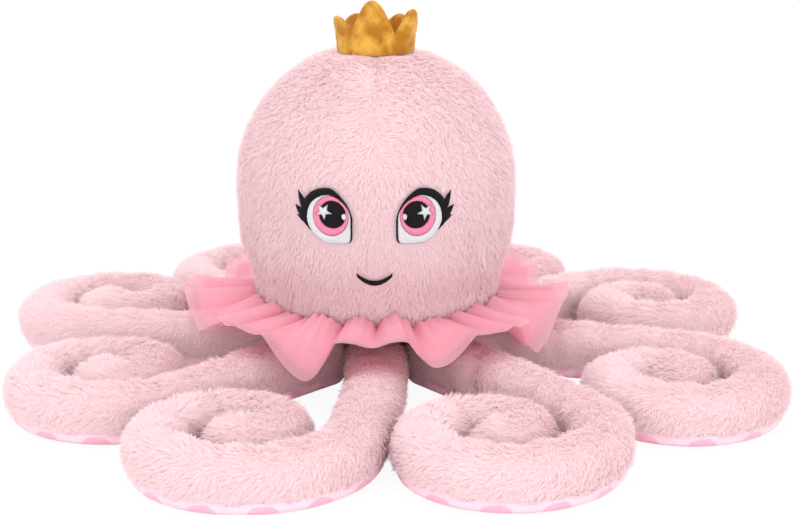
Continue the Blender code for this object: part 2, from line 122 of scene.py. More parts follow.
class Finish:
    """A material under construction. Plain numbers go straight onto its shader's sockets."""

    def __init__(self, name, **sockets):
        self.material = bpy.data.materials.new(name)
        self.material.use_nodes = True
        self.nodes = self.material.node_tree.nodes
        self.links = self.material.node_tree.links
        self.shader = self.nodes["Principled BSDF"]
        for socket, value in sockets.items():
            self.put(self.shader.inputs[socket.replace("_", " ")], value)

    def put(self, socket, value):
        if isinstance(value, Value):
            self.links.new(value.socket, socket)
        elif isinstance(value, tuple) and len(value) == 3 and socket.type == "RGBA":
            socket.default_value = (*value, 1)
        else:
            socket.default_value = value

    def node(self, kind, settings=None, *inputs, output=0, **named):
        made = self.nodes.new(kind)
        for key, value in (settings or {}).items():
            setattr(made, key, value)
        for socket, value in zip(made.inputs, inputs):
            self.put(socket, value)
        for name, value in named.items():
            self.put(made.inputs[name.replace("_", " ")], value)
        return Value(self, made.outputs[output])

    def mix(self, share, one, other):
        """Colour one where share is 0, and the other where it is 1."""
        made = self.nodes.new("ShaderNodeMix")
        made.data_type = "RGBA"
        for index, value in ((0, share), (6, one), (7, other)):
            self.put(made.inputs[index], value)
        return Value(self, made.outputs[2])

    def cloud(self, size, detail=2.0):
        """Soft noise in object space from about 0.3 to 0.7, its lumps this many metres across."""
        place = self.node("ShaderNodeTexCoord", output=3)
        return self.node("ShaderNodeTexNoise", None, place, Scale=1 / size, Detail=detail)

    def cloth(self):
        """The two directions along a cloth, in metres, from its own map."""
        return self.split("XYZ", self.node("ShaderNodeUVMap", {"uv_map": "cloth"}))[:2]

    def mark(self, name):
        """A number that the mesh carries at each point."""
        return self.node("ShaderNodeAttribute", {"attribute_name": name}, output="Fac")

    def strand(self):
        """The marks of a blade: how far along it, its own tint and its tuft's."""
        return self.split("Color", self.node("ShaderNodeAttribute", {"attribute_name": "strand"}))

    def split(self, kind, value):
        made = self.nodes.new(f"ShaderNodeSeparate{kind}")
        self.put(made.inputs[0], value)
        return [Value(self, output) for output in made.outputs]

    def blend(self, share, one, other):
        """Ends in a mix of two shaders."""
        made = self.node("ShaderNodeMixShader", None, share)
        for index, shader in ((1, one), (2, other)):
            self.links.new(shader, made.socket.node.inputs[index])
        self.links.new(made.socket, self.nodes["Material Output"].inputs[0])

    def bump(self, height, depth):
        """Bends the shading by a height from 0 to 1 that stands for this depth in metres."""
        self.put(
            self.shader.inputs["Normal"],
            self.node("ShaderNodeBump", None, Strength=1.0, Distance=depth, Height=height),
        )

    def colour(self, value):
        self.put(self.shader.inputs["Base Color"], value)
        return self.material

    def let_through(self, share, colour):
        """Sends this share of the light on to the far side, as a thin fibre does."""
        far = self.node("ShaderNodeBsdfTranslucent", None, colour)
        self.blend(share, self.shader.outputs[0], far.socket)


# %% [markdown]
# The floor is a plain white sheet. Seen by the camera it is mostly its own white, so that the
# picture gets the photograph's background and keeps only a faint shadow.

# %% Lay the floor and hang the lights
WHITE_SHARE = 0.93  # how much of the floor's own white covers the shadows on it
ROOM_LIGHT = 1.25  # strength of the white world, which the camera itself sees as 1

bpy.ops.object.select_all(action="DESELECT")
bpy.ops.mesh.primitive_plane_add(size=12, location=(0, 0, -0.0006))
floor = bpy.context.object
floor.name = "floor"
paper = Finish(
    "white paper", Base_Color=(0.93, 0.93, 0.93), Roughness=0.9, Specular_IOR_Level=0.0
)
glow = paper.node("ShaderNodeEmission", None, (1.0, 1.0, 1.0), 1.0)
ray = paper.node("ShaderNodeLightPath", None, output=0)
paper.blend(ray * WHITE_SHARE, paper.shader.outputs[0], glow.socket)
floor.data.materials.append(paper.material)

world = bpy.data.worlds.new("white room")
world.use_nodes = True
room = world.node_tree
seen = room.nodes.new("ShaderNodeLightPath")
level = room.nodes.new("ShaderNodeMath")
level.operation = "MULTIPLY_ADD"
room.links.new(seen.outputs["Is Camera Ray"], level.inputs[0])
level.inputs[1].default_value = 1 - ROOM_LIGHT
level.inputs[2].default_value = ROOM_LIGHT
room.links.new(level.outputs[0], room.nodes["Background"].inputs["Strength"])
room.nodes["Background"].inputs["Color"].default_value = (1, 1, 1, 1)
bpy.context.scene.world = world


def soft_light(name, place, size, power):
    lamp = bpy.data.lights.new(name, "AREA")
    lamp.shape = "DISK"
    lamp.size = size
    lamp.energy = power
    item = bpy.data.objects.new(name, lamp)
    item.location = place
    item.rotation_euler = (Vector((0, 0, 0.1)) - Vector(place)).to_track_quat("-Z", "Y").to_euler()
    bpy.context.scene.collection.objects.link(item)


soft_light("key light", (-0.6, 0.1, 4.4), 3.0, 60)
soft_light("fill light", (0.4, -2.2, 0.3), 1.8, 18)
print("floor, world and two lamps")

# %% [markdown]
# ## Skins as lattices
#
# Each skin of a stuffed toy is a smooth lattice: rows along it and columns across it. Numpy
# holds one as an array of points, so a whole skin is shaped by a few formulas, and the pile can
# later find its place, its upright and its lie on it.

# %% Define a skin


def unit(vectors):
    return vectors / np.maximum(np.linalg.norm(vectors, axis=-1, keepdims=True), 1e-9)


def lumps(points, size, seed=0.0):
    """Soft noise from -1 to 1 at each point, with lumps of this size."""
    flat = points.reshape(-1, 3) / size + seed
    return np.array([noise.noise(Vector(p)) for p in flat]).reshape(points.shape[:-1])


def cells(grid, flip):
    """The four corners of every cell of a lattice, a row for each cell."""
    ring = (grid[:-1, :-1], grid[1:, :-1], grid[1:, 1:], grid[:-1, 1:])[:: -1 if flip else 1]
    return np.stack([corner.reshape(-1, *grid.shape[2:]) for corner in ring], 1)


class Skin:
    """A lattice of points with its uprights. The lie is the way that its pile is combed."""

    def __init__(self, points, middle):
        self.points = points
        self.upright = unit(np.cross(np.gradient(points, axis=0), np.gradient(points, axis=1)))
        out = np.sum(self.upright * (points - middle), axis=-1)
        self.flip = np.median(out) < 0
        if self.flip:
            self.upright = -self.upright
        self.lie = unit(np.gradient(points, axis=0))
        self.length = np.ones(points.shape[:2])

    def part(self, rows, columns):
        piece = object.__new__(Skin)
        for key in ("points", "upright", "lie", "length"):
            setattr(piece, key, getattr(self, key)[rows, columns])
        piece.flip = self.flip
        return piece

    def faces(self):
        rows, columns = self.points.shape[:2]
        return cells(np.arange(rows * columns).reshape(rows, columns), self.flip)


def gone_along(points):
    """How far each point of a line is from its first one."""
    return np.concatenate([[0], np.cumsum(np.linalg.norm(np.diff(points, axis=0), axis=1))])


def around(turn, reach, height):
    """Points round the upright axis."""
    return np.stack([reach * np.cos(turn), reach * np.sin(turn), height], -1)


def settle(item, body, node):
    """Hangs an object on the body that it rides on, and hides the CAD node that it stands for."""
    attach(item, body)
    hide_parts(node)


def mesh_object(name, points, loops, sizes, finish):
    """An object from arrays: its points, its faces' corners in a row, and each face's count."""
    mesh = bpy.data.meshes.new(name)
    mesh.vertices.add(len(points))
    mesh.vertices.foreach_set("co", points.astype(np.float32).ravel())
    mesh.loops.add(len(loops))
    mesh.loops.foreach_set("vertex_index", loops.astype(np.int32))
    mesh.polygons.add(len(sizes))
    starts = np.concatenate([[0], np.cumsum(sizes)[:-1]])
    mesh.polygons.foreach_set("loop_start", starts.astype(np.int32))
    mesh.polygons.foreach_set("loop_total", np.asarray(sizes, np.int32))
    mesh.polygons.foreach_set("use_smooth", np.ones(len(sizes), bool))
    mesh.update(calc_edges=True)
    mesh.validate()
    item = bpy.data.objects.new(name, mesh)
    bpy.context.scene.collection.objects.link(item)
    mesh.materials.append(finish)
    return item


# %% [markdown]
# ## The plush
#
# Long-pile plush is a knitted back with thousands of fine fibres standing in it. They are pale
# at the tip and look a little deeper towards the root, where less light comes in. A bump pattern
# can't give the soft edge against the white, so each strand is a narrow tapered blade of three
# triangles, which leans the way the pile is combed and gathers with its neighbours into tufts.
# Half of the light goes on through a fibre, which is why a real pile has no hard shadows.

# %% Mix the plush finish
PLUSH_ROOT, PLUSH_MIDDLE, PLUSH_TIP, PLUSH_DEEP = (
    (0.990, 0.815, 0.837), (0.994, 0.845, 0.866), (0.997, 0.875, 0.892), (0.985, 0.765, 0.797)
)

plush = Finish("long pink pile", Roughness=0.85, Specular_IOR_Level=0.15)
along, tint, tuft = plush.strand()
lower = plush.mix((along * 2.0).clipped(), PLUSH_ROOT, PLUSH_MIDDLE)
upper = plush.mix((along * 2.0 - 1.0).clipped(), lower, PLUSH_TIP)
shade = (tint * 0.5 + tuft * 0.5 + plush.cloud(0.05) - 0.5).clipped()
pink_plush = plush.colour(plush.mix(shade * 0.20, upper, PLUSH_DEEP))
plush.let_through(0.50, (0.994, 0.835, 0.857))

# %% Define how a pile grows on a skin
ROOT_WIDTH = 0.00055
SWERVE, TILT_SPREAD, TWIST_SPREAD = 34, 9, 15  # how much blades differ, in degrees
BLADE_ALONG = (0.12, 0.12, 0.62, 0.62, 1.0)  # how far along a blade each of its points counts
BLADE_ON_MAP = ((0.15, 0.1), (0.85, 0.1), (0.7, 0.55), (0.3, 0.55), (0.5, 0.92))
ATLAS_SKIN = 0.2  # share of the map that the skin takes, below the strands


def strands_on(skin, count, length, seed, lean=50.0, tufts=14, gather=0.26, width=ROOT_WIDTH):
    """Points, uprights and marks of a pile of blades, five points to each."""
    dice = np.random.default_rng(seed)
    points = skin.points
    area = np.linalg.norm(
        np.cross(points[1:, :-1] - points[:-1, :-1], points[:-1, 1:] - points[:-1, :-1]), axis=-1
    )
    worth = (area * (skin.length[:-1, :-1] > 0.05)).ravel()
    steps = np.cumsum(worth)
    cell = np.searchsorted(steps, (np.arange(count) + dice.random(count)) / count * steps[-1])
    row, column = np.divmod(np.minimum(cell, len(worth) - 1), area.shape[1])
    down, side = dice.random(count), dice.random(count)

    def there(field):
        shape = (count,) + (1,) * (field.ndim - 2)
        d, s = down.reshape(shape), side.reshape(shape)
        upper = field[row, column] * (1 - s) + field[row, column + 1] * s
        lower = field[row + 1, column] * (1 - s) + field[row + 1, column + 1] * s
        return upper * (1 - d) + lower * d

    root, up = there(points), unit(there(skin.upright))
    lie = there(skin.lie)
    lie = unit(lie - up * np.sum(lie * up, axis=1, keepdims=True))
    swerve = np.radians(dice.normal(0, SWERVE, count))[:, None]
    lie = lie * np.cos(swerve) + np.cross(up, lie) * np.sin(swerve)
    tilt = np.radians(lean + dice.normal(0, TILT_SPREAD, count))[:, None]
    reach = (length * there(skin.length) * dice.uniform(0.72, 1.12, count))[:, None]
    low = up * np.cos(tilt * 0.75) + lie * np.sin(tilt * 0.75)
    high = up * np.cos(tilt * 1.15) + lie * np.sin(tilt * 1.15)
    start = root - up * 0.0006
    middle = start + low * reach * 0.55
    tip = middle + high * reach * 0.5

    leaders = np.arange(0, count, tufts)
    tree = kdtree.KDTree(len(leaders))
    for index in leaders:
        tree.insert(root[index], int(index))
    tree.balance()
    near = np.array([tree.find(p)[1] for p in root])
    pull = gather * dice.uniform(0.3, 1.0, count)[:, None]
    tip = tip + (tip[near] - tip) * pull
    middle = middle + (middle[near] - middle) * pull * 0.45
    colour_of = dice.random(count)

    axis = unit(tip - start)
    across = unit(np.cross(up, axis))
    twist = np.radians(dice.normal(0, TWIST_SPREAD, count))[:, None]
    across = across * np.cos(twist) + np.cross(axis, across) * np.sin(twist)
    face = unit(np.cross(axis, across))
    face *= np.sign(np.sum(face * up, axis=1, keepdims=True))
    half = -across * width / 2
    blades = np.stack([start - half, start + half, middle + half, middle - half, tip], axis=1)
    shine = unit(up * 0.9 + face * 0.2)
    marks = np.ones((count, 5, 4), np.float32)
    marks[:, :, 0] = BLADE_ALONG
    marks[:, :, 1] = dice.random(count)[:, None]
    marks[:, :, 2] = colour_of[near][:, None]
    return blades, np.repeat(shine[:, None], 5, axis=1), marks


def atlas(count):
    """A corner of the map for each blade, as its five points' places in a grid of cells."""
    columns = math.ceil(math.sqrt(count / (1 - ATLAS_SKIN)))
    rows = math.ceil(count / columns)
    row, column = np.divmod(np.arange(count), columns)
    shape = np.array(BLADE_ON_MAP)
    across = (column[:, None] + shape[:, 0]) / columns
    up = ATLAS_SKIN + (row[:, None] + shape[:, 1]) / rows * (1 - ATLAS_SKIN)
    return np.stack([across, up], axis=-1)


def furred(name, skin, count, length, seed, finish, **lie):
    """One object of a skin and the pile that stands on it."""
    blades, shine, marks = strands_on(skin, count, length, seed, **lie)
    rows, columns = skin.points.shape[:2]
    base = skin.points.reshape(-1, 3)
    quads = skin.faces()
    first = len(base) + 5 * np.arange(count)[:, None]
    sides, tips = first + np.array([0, 1, 2, 3]), first + np.array([3, 2, 4])
    points = np.concatenate([base, blades.reshape(-1, 3)])
    loops = np.concatenate([quads.ravel(), sides.ravel(), tips.ravel()])
    sizes = [4] * (len(quads) + count) + [3] * count
    item = mesh_object(name, points, loops, sizes, finish)
    mesh = item.data

    root_marks = np.tile(np.array([0, 0.5, 0.5, 1], np.float32), (len(base), 1))
    colours = mesh.attributes.new("strand", "FLOAT_COLOR", "POINT")
    colours.data.foreach_set("color", np.concatenate([root_marks, marks.reshape(-1, 4)]).ravel())
    down, side = (np.linspace(0.01, 0.99, n) for n in (rows, columns))
    flat = np.stack(np.meshgrid(down, side, indexing="ij"), -1)
    flat = flat.reshape(-1, 2)[:, ::-1] * (1, ATLAS_SKIN * 0.97)
    spots = np.concatenate([flat, atlas(count).reshape(-1, 2)])[loops].astype(np.float32)
    mesh.uv_layers.new(name="OFBake").data.foreach_set("uv", spots.ravel())
    uprights = np.concatenate([skin.upright.reshape(-1, 3), shine.reshape(-1, 3)])
    mesh.normals_split_custom_set_from_vertices(uprights.tolist())
    return item


# %% [markdown]
# ## The head
#
# The head is a ball that is fuller below than above. Its side is the same curve as in the CAD
# part, sampled finely and rounded where it turns in under the ruffle. The four panels are cut
# from one lattice, so that the pile runs on over their seams. Along a seam the filling can't
# push the cloth out as far, and above the forehead a dart parts the pile.

# %% Shape the head's skin
HEAD_RADIUS, HEAD_RISE, HEAD_DEPTH = 0.106, 0.113, 0.115
UPPER_FULLNESS, LOWER_FULLNESS = 2.25, 3.2
NECK_RADIUS, NECK_HEIGHT = 0.0808, 0.050
BASE_RADIUS, BASE_HEIGHT = 0.0393, 0.0430
CLEARANCE = 0.0004
neck_share = (1 - (NECK_RADIUS / HEAD_RADIUS) ** LOWER_FULLNESS) ** (1 / LOWER_FULLNESS)
HEAD_MIDDLE = NECK_HEIGHT + neck_share * HEAD_DEPTH
HEAD_CENTRE = np.array([0, 0, HEAD_MIDDLE])
PANEL_COLUMNS = 66
SKIN_RAISE = 0.0006  # how far the skin stands out from the CAD's


def head_side():
    """Points of the head's side, from near the top to the base cup, as radius and height."""
    turn = np.radians(np.linspace(89.5, 0, 400))
    upper = np.stack([
        HEAD_RADIUS * np.cos(turn) ** (2 / UPPER_FULLNESS),
        HEAD_MIDDLE + HEAD_RISE * np.sin(turn) ** (2 / UPPER_FULLNESS),
    ], 1)
    turn = np.linspace(0, math.asin(neck_share ** (LOWER_FULLNESS / 2)), 200)[1:]
    lower = np.stack([
        HEAD_RADIUS * np.cos(turn) ** (2 / LOWER_FULLNESS),
        HEAD_MIDDLE - HEAD_DEPTH * np.sin(turn) ** (2 / LOWER_FULLNESS),
    ], 1)
    under = np.linspace(lower[-1], (BASE_RADIUS + CLEARANCE, BASE_HEIGHT + CLEARANCE), 80)[1:]
    side = np.concatenate([upper, lower, under])
    gone = gone_along(side)
    even = np.linspace(0, gone[-1], 300)
    side = np.stack([np.interp(even, gone, side[:, k]) for k in (0, 1)], 1)
    weights = np.exp(-np.linspace(-2, 2, 13) ** 2)
    padded = np.pad(side, ((6, 6), (0, 0)), mode="reflect", reflect_type="odd")
    smooth = [np.convolve(padded[:, k], weights / weights.sum(), mode="valid") for k in (0, 1)]
    return np.stack(smooth, 1)[::2]


side = head_side()
bearings = np.radians(np.arange(4 * PANEL_COLUMNS + 1) * 90 / PANEL_COLUMNS - 135)
ball = around(bearings, side[:, :1], side[:, 1:] + 0 * bearings)
from_seam = (np.degrees(bearings) + 135 + 45) % 90 - 45  # degrees from the nearest seam
seam_dip = np.exp(-(np.radians(from_seam) * side[:, :1] / 0.0045) ** 2)
front = np.degrees(bearings) + 90
front[front > 180] -= 360
high = np.clip((side[:, 1:] - 0.215) / 0.03, 0, 1)
dart = np.exp(-(np.radians(front) * side[:, :1] / 0.0035) ** 2) * high
swell = 0.0011 * lumps(ball, 0.045) + 0.0005 * lumps(ball, 0.018, 7.0) + SKIN_RAISE
swell = swell + 0.0020 * np.exp(-(((ball[..., 2] - 0.165) / 0.035) ** 2))
swell = swell - 0.0040 * np.exp(-(((ball[..., 2] - 0.082) / 0.020) ** 2))
outward = unit(ball - HEAD_CENTRE)
fade = np.clip((ball[:, :, 2:] - 0.056) / 0.02, 0, 1)
ball = ball + outward * fade * (swell - 0.0009 * seam_dip - 0.0012 * dart)[..., None]
ball[:, -1] = ball[:, 0]
head_skin = Skin(ball, HEAD_CENTRE)
print("head lattice:", ball.shape[:2], "radius", round(float(np.abs(ball[..., 0]).max()), 4))

# %% [markdown]
# ## The face's outlines
#
# The embroidery is laid out flat, as it is on the machine: each outline is a short formula
# measured from the centre of an iris. The outlines come before the pile, because no strand
# grows inside them, and the strands round them are shorter and combed away, as they are where
# a hoop has pressed them.

# %% Draw the outlines of the eyes and the mouth
EYE_BEARING = 17.23  # from the middle plane round to the centre of an iris, in degrees
EYE_SPACING = HEAD_RADIUS * math.sin(math.radians(EYE_BEARING))
EYE_HEIGHT = HEAD_MIDDLE + 0.0020
IRIS_SIZE, PUPIL_SIZE, PUPIL_CENTRE = (0.0129, 0.0149), (0.00965, 0.0101), (0.0011, 0.0010)
STAR_CENTRE, STAR_TIP, STAR_WAIST, STAR_TURN = (-0.0055, 0.0029), 0.0065, 0.0028, 60.0
GLINT_SIZE, GLINT_CENTRE = (0.0018, 0.0026), (0.0094, -0.0002)
# How far the eye's opening and the lid round it reach, inner, upper, outer and lower, and how
# full their corners are, quarter by quarter
LID_CENTRE = (-0.0019, -0.0028)
OPENING = (0.0163, 0.0179, 0.0158, 0.0180), (1.85, 2.2, 1.7, 9.0)
LID = (0.0176, 0.0233, 0.0206, 0.0178), (1.55, 2.3, 1.25, 9.0)
LASH_START, LASH_SPACING, LASH_LENGTH, LASH_SHORTENING = 146.5, 18.5, 0.0100, 0.0026
LASH_LEAN, LASH_FAN = 110.0, 14.0
MOUTH_WIDTH, MOUTH_HEIGHT, MOUTH_SAG = 0.0262, HEAD_MIDDLE - 0.0425, 0.0066
MOUTH_STITCH, MOUTH_END = 0.0042, 0.0022  # its width in the middle and at its ends


def ellipse(centre, size, count=72):
    turn = np.linspace(0, math.tau, count, endpoint=False)
    return np.stack([centre[0] + size[0] * np.cos(turn), centre[1] + size[1] * np.sin(turn)], 1)


def star_outline():
    turn = np.radians(STAR_TURN + 36 * np.arange(10))
    reach = np.where(np.arange(10) % 2 == 0, STAR_TIP, STAR_WAIST)
    return STAR_CENTRE + np.stack([reach * np.cos(turn), reach * np.sin(turn)], 1)


def lid_point(angle, shape):
    """A point round the eye. Each quarter has its own reach and fullness."""
    reach, fullness = shape
    full = fullness[int(angle % 360 // 90)]
    across, up = math.cos(math.radians(angle)), math.sin(math.radians(angle))
    wide, tall = reach[0 if across > 0 else 2], reach[1 if up > 0 else 3]
    across = math.copysign(abs(across) ** (2 / full), across) * wide
    up = math.copysign(abs(up) ** (2 / full), up) * tall
    return LID_CENTRE[0] + across, LID_CENTRE[1] + up


def lid_outline():
    """The lid with its three curved lashes, anticlockwise from the lower inner corner."""
    outline = [lid_point(angle, LID) for angle in np.arange(-84, LASH_START, 4)]
    outline.append(lid_point(LASH_START, LID))
    for i in range(3):
        angle = LASH_START + i * LASH_SPACING
        root = Vector(lid_point(angle + LASH_SPACING / 2, LID))
        lean = math.radians(LASH_LEAN + i * LASH_FAN)
        tip = root + Vector((math.cos(lean), math.sin(lean))) * (LASH_LENGTH - i * LASH_SHORTENING)
        near, far = Vector(outline[-1]), Vector(lid_point(angle + LASH_SPACING, LID))
        for start, end in ((near, tip), (tip, far)):
            bow = (end - start).orthogonal() * -0.04
            for share in (0.25, 0.5, 0.75, 1.0):
                outline.append(tuple(start.lerp(end, share) + bow * math.sin(math.pi * share)))
    rest = np.linspace(LASH_START + 3 * LASH_SPACING, 270, 16)[1:-1]
    return np.array(outline + [lid_point(angle, LID) for angle in rest])


def opening_outline():
    return np.array([lid_point(angle, OPENING) for angle in range(0, 360, 4)])


def mouth_outline():
    along = np.linspace(-1, 1, 41)
    half = (MOUTH_END + (MOUTH_STITCH - MOUTH_END) * np.sqrt(1 - along**2)) / 2
    middle = MOUTH_SAG * (along**2 - 1)
    lower = np.stack([along * MOUTH_WIDTH / 2, middle - half], 1)
    upper = np.stack([along * MOUTH_WIDTH / 2, middle + half], 1)
    return np.concatenate([lower, upper[::-1]])


def inside(spots, outline):
    """Whether each flat spot lies inside an outline."""
    x, y = spots[:, 0, None], spots[:, 1, None]
    a, b = outline, np.roll(outline, -1, axis=0)
    rising = (a[:, 1] > y) != (b[:, 1] > y)
    climb = np.where(b[:, 1] == a[:, 1], 1e-12, b[:, 1] - a[:, 1])
    crossing = a[:, 0] + (y - a[:, 1]) / climb * (b[:, 0] - a[:, 0])
    return np.sum(rising & (x < crossing), axis=1) % 2 == 1


def away(spots, outline):
    """How far each flat spot is from an outline, and the way that leads from it."""
    span = np.roll(outline, -1, axis=0) - outline
    share = np.sum((spots[:, None] - outline) * span, axis=2)
    share = share / np.maximum(np.sum(span**2, axis=1), 1e-12)
    foot = outline + np.clip(share, 0, 1)[..., None] * span
    gap = spots[:, None] - foot
    distance = np.linalg.norm(gap, axis=2)
    nearest = np.argmin(distance, axis=1)
    rows = np.arange(len(spots))
    return distance[rows, nearest], unit(gap[rows, nearest])


def on_face(outline, side):
    """An eye's outline on the head's own front plane. The side is 1 for the eye at -X."""
    return (outline + (-EYE_SPACING, 0)) * (side, 1) + (0, EYE_HEIGHT)


mouth = mouth_outline() + (0, MOUTH_HEIGHT)
stitched_outlines = [on_face(lid_outline(), 1), on_face(lid_outline(), -1), mouth]
print("eyes", round(2 * EYE_SPACING * 1000, 1), "mm apart, mouth at", round(MOUTH_HEIGHT, 3), "m")

# %% [markdown]
# ## The pile of the head
#
# The pile falls outwards and down from the crown. None grows where the crown sits, and it is
# short under the ruffle's tape and round the stitches, which it keeps off. On the forehead it
# leans towards the sides, away from the dart. Just above the ruffle it is longer, so that it
# hangs over the gathers as the photograph shows.

# %% Comb the head and grow its pile
HEAD_PILE = 0.0090
PANEL_STRANDS = 33000
PANELS = ("face_panel", "right_side_panel", "back_panel", "left_side_panel")
# The pile's length as a share of HEAD_PILE, over the height and over the radius near the top
BY_HEIGHT = (0.046, 0.0475, 0.058, 0.066, 0.080, 0.100), (0, 0.3, 0.6, 1.35, 1.35, 1)
BY_RADIUS = (0.0235, 0.0245, 0.0305, 0.0315, 0.037), (0.35, 0, 0, 0.45, 1)
# and over the distance from the nearest stitches
BY_GAP = (0.0004, 0.0008, 0.004, 0.011), (0, 0.40, 0.62, 1)

points = head_skin.points
height = points[..., 2]
radius = np.hypot(points[..., 0], points[..., 1])
length = np.interp(height, *BY_HEIGHT)
by_crown = (height > HEAD_MIDDLE) & (radius < BY_RADIUS[0][-1])
length = np.where(by_crown, np.interp(radius, *BY_RADIUS), length)
sideways = np.clip(points[..., :1] / 0.016, -1, 1) * (1, 0, 0)
brow = np.exp(-(points[..., 0] / 0.030) ** 2) * np.clip((height - 0.165) / 0.03, 0, 1)
brow = (brow * (points[..., 1] < 0))[..., None]
lie = head_skin.lie * (1 - 0.75 * brow) + sideways * 0.9 * brow
lie += 0.35 * np.stack([lumps(points, 0.03, s) for s in (3.0, 13.0, 23.0)], -1)
lie += 0.55 * np.stack([lumps(points, 0.010, s) for s in (3.5, 13.5, 23.5)], -1)

front_part = (points[..., 1] < -0.02) & (height > 0.08)
spots = points[front_part][:, [0, 2]]
gap = np.full(len(spots), 1.0)
outward_2d = np.zeros_like(spots)
covered = np.zeros(len(spots), bool)
for outline in stitched_outlines:
    covered |= inside(spots, outline)
    distance, way = away(spots, outline)
    closer = distance < gap
    gap[closer], outward_2d[closer] = distance[closer], way[closer]
gap[covered] = 0
length[front_part] *= np.interp(gap, *BY_GAP)
pushed = np.exp(-gap / 0.004)[:, None]
outward_3d = np.stack([outward_2d[:, 0], np.zeros(len(gap)), outward_2d[:, 1]], 1)
lie[front_part] = lie[front_part] * (1 - pushed) + outward_3d * pushed
head_skin.lie, head_skin.length = unit(lie), length

for index, name in enumerate(PANELS):
    columns = slice(index * PANEL_COLUMNS, (index + 1) * PANEL_COLUMNS + 1)
    panel = head_skin.part(slice(None), columns)
    cover = furred(
        f"{name}_pile", panel, PANEL_STRANDS, HEAD_PILE, 40 + index, pink_plush, lean=66, tufts=17
    )
    settle(cover, "head", name)
print("strands on the head:", 4 * PANEL_STRANDS)

# %% [markdown]
# ## The arms
#
# Each arm is a long tube that is curled flat on the ground. Its centre line is a row of arcs:
# a slightly bent lead, then a spiral that tightens to the tip. The stuffed tip runs on a little
# inside the curl, further than in the CAD part, so that it fills the middle. The top and sides
# are plush and the sole is satin. A ring of points, carried along that line and rounded off at
# both ends, makes each skin.

# %% Lay out the arms' centre lines
ARM_COUNT = 8
ARM_WIDTH, ARM_HEIGHT, ARM_FULLNESS = 0.044, 0.042, 2.3
SEAM_ANGLE, SOLE_FLAT, TIP_SCALE = 28.0, 0.60, 0.91
HINGE_RADIUS = (ARM_WIDTH + 0.00345) / (2 * math.sin(math.pi / ARM_COUNT))
CURL_END, CURL_TURN = 0.0240, 390.0
ARM_CURL = CURL_END + (ARM_WIDTH + 0.0013) * CURL_TURN / 360
CURL_ROOM = 2 * 0.84 * ARM_CURL + ARM_WIDTH + 0.0030
ARM_LEAD = CURL_ROOM / (2 * math.sin(math.pi / ARM_COUNT)) - HINGE_RADIUS
# How each arm lies, anticlockwise from the front: the turn of its root, its lead as a share of
# ARM_LEAD, the bend in that lead, and its curl as a share of ARM_CURL
ARM_LIES = (
    (2.0, 1.115, 11.0, 1.10),
    (-8.0, 1.12, 5.0, 1.07),
    (-11.0, 1.13, 7.0, 1.085),
    (-9.0, 1.07, 2.5, 1.01),
    (-9.0, 0.92, 4.0, 1.0),
    (4.0, 0.895, 4.0, 1.005),
    (-2.4, 1.035, 5.5, 1.015),
    (4.0, 0.90, 1.0, 1.015),
)
TIP_RUN = ((0.019, 45.0), (0.014, 65.0))  # the tip's last arcs, as radius and turn in degrees
LEAD_STEPS, CURL_STEPS, FINE = 3, 12, 12  # FINE is the count of short arcs in each long one


def arm_line(lie):
    """The centre line as rows of x, y, heading, share of the length."""
    swing, lead, bend, curl = lie
    arcs = [(lead * ARM_LEAD / LEAD_STEPS, math.radians(bend) / LEAD_STEPS)] * LEAD_STEPS
    turn, widest = math.radians(CURL_TURN) / CURL_STEPS, curl * ARM_CURL
    for i in range(CURL_STEPS):
        arcs.append(((widest + (CURL_END - widest) * (i + 0.5) / CURL_STEPS) * turn, turn))
    arcs += [(radius * math.radians(turn), math.radians(turn)) for radius, turn in TIP_RUN]
    whole = sum(length for length, _ in arcs)
    heading = math.radians(swing)
    x = y = gone = 0.0
    route = [(x, y, heading, 0.0)]
    for length, turn in arcs:
        for _ in range(FINE):
            step, bit = length / FINE, turn / FINE
            chord = step * math.sin(bit / 2) / (bit / 2)
            x += chord * math.cos(heading - bit / 2)
            y += chord * math.sin(heading - bit / 2)
            heading -= bit
            gone += step
            route.append((x, y, heading, gone / whole))
    return np.array(route)


def arm_rings(lie):
    """Each ring's x, y, z, heading and size, rounded off at both ends."""
    route = arm_line(lie)
    size = 1 + (TIP_SCALE - 1) * route[:, 3]
    rings = np.stack([route[:, 0], route[:, 1], (size - 1) * ARM_HEIGHT / 2, route[:, 2], size], 1)

    def rounded(end, way):
        turn = np.radians(np.linspace(3, 84, 12))[:: -way]
        out = way * np.cos(turn) * end[4] * ARM_WIDTH / 2
        x, y = end[0] + out * math.cos(end[3]), end[1] + out * math.sin(end[3])
        rest = np.ones(len(turn))
        return np.stack([x, y, rest * end[2], rest * end[3], end[4] * np.sin(turn)], 1)

    return np.concatenate([rounded(rings[0], -1), rings, rounded(rings[-1], 1)])


def hung(rings, section, bearing):
    """Carries a cross section along the rings of an arm, and turns the arm to its bearing."""
    across, up = section[:, 0], section[:, 1]
    x, y, z, heading, size = (rings[:, k, None] for k in range(5))
    out = HINGE_RADIUS + x + size * across * np.sin(heading)
    aside = y - size * across * np.cos(heading)
    local = np.stack([out, aside, ARM_HEIGHT / 2 + z + size * up], -1)
    turn = np.array(Matrix.Rotation(bearing, 3, "Z"))
    return local @ turn.T


def arm_section(start, stop, count):
    turn = np.radians(np.linspace(start, stop, count))
    across = np.sign(np.cos(turn)) * np.abs(np.cos(turn)) ** (2 / ARM_FULLNESS)
    up = np.sign(np.sin(turn)) * np.abs(np.sin(turn)) ** (2 / ARM_FULLNESS)
    return np.stack([ARM_WIDTH / 2 * across, ARM_HEIGHT / 2 * up], 1)


def arm_bearing(index):
    return math.tau * index / ARM_COUNT - math.pi / 2


CORE = np.zeros((1, 2))  # a cross section that is only its middle
ARMS = [
    (f"arm_{index + 1}", arm_rings(lie), arm_bearing(index)) for index, lie in enumerate(ARM_LIES)
]
print("arms:", len(ARMS), "of", len(ARMS[0][1]), "rings")


